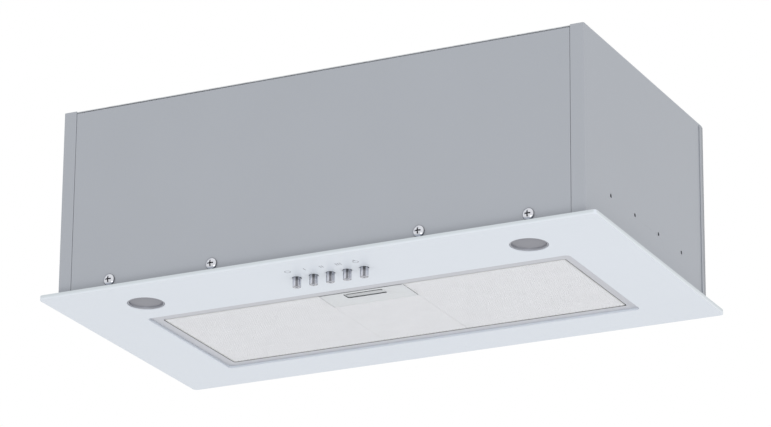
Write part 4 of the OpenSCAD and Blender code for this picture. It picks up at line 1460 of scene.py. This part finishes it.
@dataclass
class Filter(Assembly):
    """The grease filter: stretched mesh in a folded rim."""

    half_x: float = 192.1
    front: float = -44.1
    back: float = 87.7
    low: float = -2.0
    high: float = 7.0
    corner: float = 2.0
    wall: float = 0.8
    lip: float = 1.3
    notch_half: float = 40.6
    notch_back: float = -11.5
    long_way: float = 3.2
    short_way: float = 2.1
    strand: float = 0.27
    gauge: float = 0.4
    tab_x: float = 120.0
    tab_width: float = 22.0
    tab_reach: float = 5.0

    def mesh_field(self, name: str, x0: float, x1: float, y0: float, y1: float) -> None:
        """Stretches one rectangular field of mesh.

        Args:
            name: Name of the piece.
            x0: Left side, in millimetres.
            x1: Right side.
            y0: Front side.
            y1: Back side.
        """
        bm = bmesh.new()
        reach = (x1 - x0) / self.long_way + (y1 - y0) / self.short_way
        count = 2 * (int(reach / 2.0) + 3)
        bmesh.ops.create_grid(bm, x_segments=count, y_segments=count, size=count / 2.0)
        quarter = Matrix.Rotation(math.radians(45.0), 4, "Z")
        bmesh.ops.transform(bm, matrix=quarter, verts=bm.verts[:])
        size = (self.long_way * MM / math.sqrt(2.0), self.short_way * MM / math.sqrt(2.0), 1.0)
        bmesh.ops.scale(bm, vec=size, verts=bm.verts[:])
        middle_x = round((x0 + x1) / 2 / self.long_way) * self.long_way
        middle_y = round((y0 + y1) / 2 / self.short_way) * self.short_way
        bmesh.ops.translate(bm, vec=Vector((middle_x, middle_y, self.low + 0.12)) * MM, verts=bm.verts[:])
        holes = bm.faces[:]
        bmesh.ops.inset_individual(bm, faces=holes, thickness=self.strand * MM, use_even_offset=True)
        bmesh.ops.delete(bm, geom=holes, context="FACES")
        sides = [((x0, 0, 0), (-1, 0, 0)), ((x1, 0, 0), (1, 0, 0))]
        sides += [((0, y0, 0), (0, -1, 0)), ((0, y1, 0), (0, 1, 0))]
        for place, way in sides:
            bmesh.ops.bisect_plane(
                bm, geom=bm.verts[:] + bm.edges[:] + bm.faces[:], plane_co=Vector(place) * MM,
                plane_no=Vector(way), clear_outer=True,
            )
        for f in bm.faces:
            if f.normal.z > 0:
                f.normal_flip()
        item = settle(bm, name, Shop.MESH, Body.FILTER)
        wall = item.modifiers.new("gauge", "SOLIDIFY")
        wall.thickness = self.gauge * MM
        wall.offset = -1.0

    def rim(self) -> None:
        """Folds the rim with its narrow lip and two rear tabs."""
        blank = Blank().rectangle(-self.half_x, self.half_x, self.front, self.back, self.corner, 5)
        inner = self.corner - self.wall
        blank.rectangle(
            -self.half_x + self.wall, self.half_x - self.wall, self.front + self.wall, self.back - self.wall,
            inner, 5,
        )
        bm = blank.sheet(self.low, self.high)
        lip = Blank().rectangle(
            -self.half_x + self.wall / 2, self.half_x - self.wall / 2, self.front + self.wall / 2,
            self.back - self.wall / 2, inner, 5,
        )
        lip.rectangle(
            -self.half_x + self.lip, self.half_x - self.lip, self.front + self.lip,
            self.back - self.lip, 0.8, 3,
        )
        lip.sheet(self.low + 0.02, self.low + 0.5)
        whole = bpy.data.meshes.new("rim_lip")
        lip.bm.to_mesh(whole)
        bm.from_mesh(whole)
        bpy.data.meshes.remove(whole)
        for side in Side:
            middle = side.value * self.tab_x
            block(
                bm, middle - self.tab_width / 2, middle + self.tab_width / 2, self.back - self.wall,
                self.back + self.tab_reach, -0.9, -0.1,
            )
        settle(bm, "filter_rim", Shop.RIM, Body.FILTER, ["filter_tray"], 0.12)

    def inner_layers(self) -> None:
        """Lays the inner mesh layers behind the outer one."""
        edge = self.half_x - self.wall
        blank = Blank()
        corners = [
            (-edge, self.front + self.wall), (-self.notch_half, self.front + self.wall),
            (-self.notch_half, self.notch_back), (self.notch_half, self.notch_back),
            (self.notch_half, self.front + self.wall), (edge, self.front + self.wall),
            (edge, self.back - self.wall), (-edge, self.back - self.wall),
        ]
        points = [blank.bm.verts.new((x * MM, y * MM, 0.0)) for x, y in corners]
        for first, second in zip(points, points[1:] + points[:1]):
            blank.bm.edges.new((first, second))
        bm = blank.sheet(self.low + 1.3, self.low + 1.5)
        settle(bm, "filter_layers", Shop.LAYERS, Body.FILTER, ["filter_core"])

    def build(self) -> None:
        """Builds the filter."""
        inset = self.wall * 0.5
        self.mesh_field(
            "filter_mesh_left", -self.half_x + inset, -self.notch_half, self.front + inset, self.back - inset,
        )
        self.mesh_field(
            "filter_mesh_right", self.notch_half, self.half_x - inset, self.front + inset, self.back - inset,
        )
        self.mesh_field(
            "filter_mesh_middle", -self.notch_half, self.notch_half, self.notch_back, self.back - inset,
        )
        self.rim()
        self.inner_layers()
        self.soften(Shop.LAYERS, 0.1, "filter_backing")


@dataclass
class Latch(Assembly):
    """The filter's finger latch."""

    travel: float = 5.0

    def build(self) -> None:
        """Rounds the latch's edges."""
        self.soften(Shop.LATCH, 0.2, "latch_housing")
        self.soften(Shop.LATCH, 0.25, "filter_latch", segments=3)
        low, high = (corner.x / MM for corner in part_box("latch_springs"))
        middle, reach = (low + high) / 2, high - low
        node = "latch_springs"
        self.spring("latch_spring_pair", node, "latch_slide", (0, 1, 0), self.travel, middle, reach)


@dataclass
class Studio:
    """Floor, light and camera."""

    eye: Point = (1.48518, -3.03142, -1.14742)
    yaw: float = -26.069
    pitch: float = 20.028
    roll: float = 0.458
    focal: float = 4096.7
    picture: float = 771.0
    film: float = 36.0
    floor_z: float = -3.6

    def camera(self) -> None:
        """Sets up the long camera below and in front of the hood."""
        lens = bpy.data.cameras.new("camera")
        lens.sensor_width = self.film
        lens.sensor_fit = "HORIZONTAL"
        lens.lens = self.focal * self.film / self.picture
        lens.clip_end = 100.0
        yaw, pitch, roll = (math.radians(a) for a in (self.yaw, self.pitch, self.roll))
        ahead = Vector((math.sin(yaw) * math.cos(pitch), math.cos(yaw) * math.cos(pitch), math.sin(pitch)))
        level = Vector((math.cos(yaw), -math.sin(yaw), 0.0))
        above = level.cross(ahead)
        right = math.cos(roll) * level + math.sin(roll) * above
        up = math.cos(roll) * above - math.sin(roll) * level
        item = bpy.data.objects.new("camera", lens)
        turn = Matrix((right, up, -ahead)).transposed().to_4x4()
        item.matrix_world = Matrix.Translation(self.eye) @ turn
        bpy.context.scene.collection.objects.link(item)
        bpy.context.scene.camera = item

    def floor(self) -> None:
        """Lays a large pale floor well below the hood."""
        bm = bmesh.new()
        bmesh.ops.create_grid(bm, x_segments=2, y_segments=2, size=30.0)
        bmesh.ops.translate(bm, vec=(0.0, 0.0, self.floor_z), verts=bm.verts[:])
        mesh = bpy.data.meshes.new("floor")
        bm.to_mesh(mesh)
        bm.free()
        item = bpy.data.objects.new("floor", mesh)
        mesh.materials.append(Shop.FLOOR.material())
        bpy.context.scene.collection.objects.link(item)

    def panel_light(self, name: str, eye: Point, aim: Point, size: float, power: float) -> None:
        """Hangs one soft light.

        Args:
            name: Name of the light.
            eye: Its place, in metres.
            aim: The place that it faces.
            size: Side of its square, in metres.
            power: Its power, in watts.
        """
        light = bpy.data.lights.new(name, "AREA")
        light.shape = "SQUARE"
        light.size = size
        light.energy = power
        item = bpy.data.objects.new(name, light)
        way = Vector(aim) - Vector(eye)
        item.matrix_world = Matrix.Translation(eye) @ way.to_track_quat("-Z", "Y").to_matrix().to_4x4()
        bpy.context.scene.collection.objects.link(item)

    def world(self) -> None:
        """Sets an even white surround."""
        world = bpy.data.worlds.new("surround")
        world.use_nodes = True
        back = world.node_tree.nodes["Background"]
        back.inputs[0].default_value = (1.0, 1.0, 1.0, 1.0)
        back.inputs[1].default_value = 1.0
        bpy.context.scene.world = world
        bpy.context.scene.view_settings.view_transform = "Standard"

    def build(self) -> None:
        """Sets up everything round the hood."""
        self.camera()
        self.floor()
        self.world()
        self.panel_light("key", (1.6, -2.4, -1.9), (0.0, 0.0, 0.05), 1.6, 26.0)
        self.panel_light("side", (3.0, 0.4, 0.6), (0.2, 0.0, 0.08), 1.4, 2.0)


def main() -> None:
    """Builds the studio and every sub-assembly."""
    logging.basicConfig(level=logging.INFO, format="%(name)s %(message)s")
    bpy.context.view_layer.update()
    Studio().build()
    parts: list[Assembly] = [
        GlassTop(), Carrier(), Shell(), Outlet(), Blower(), Supply(), Keys(), Lamps(), Filter(), Latch(),
    ]
    for part in parts:
        LOG.info("building %s", type(part).__name__)
        part.build()


if __name__ == "__main__":
    main()
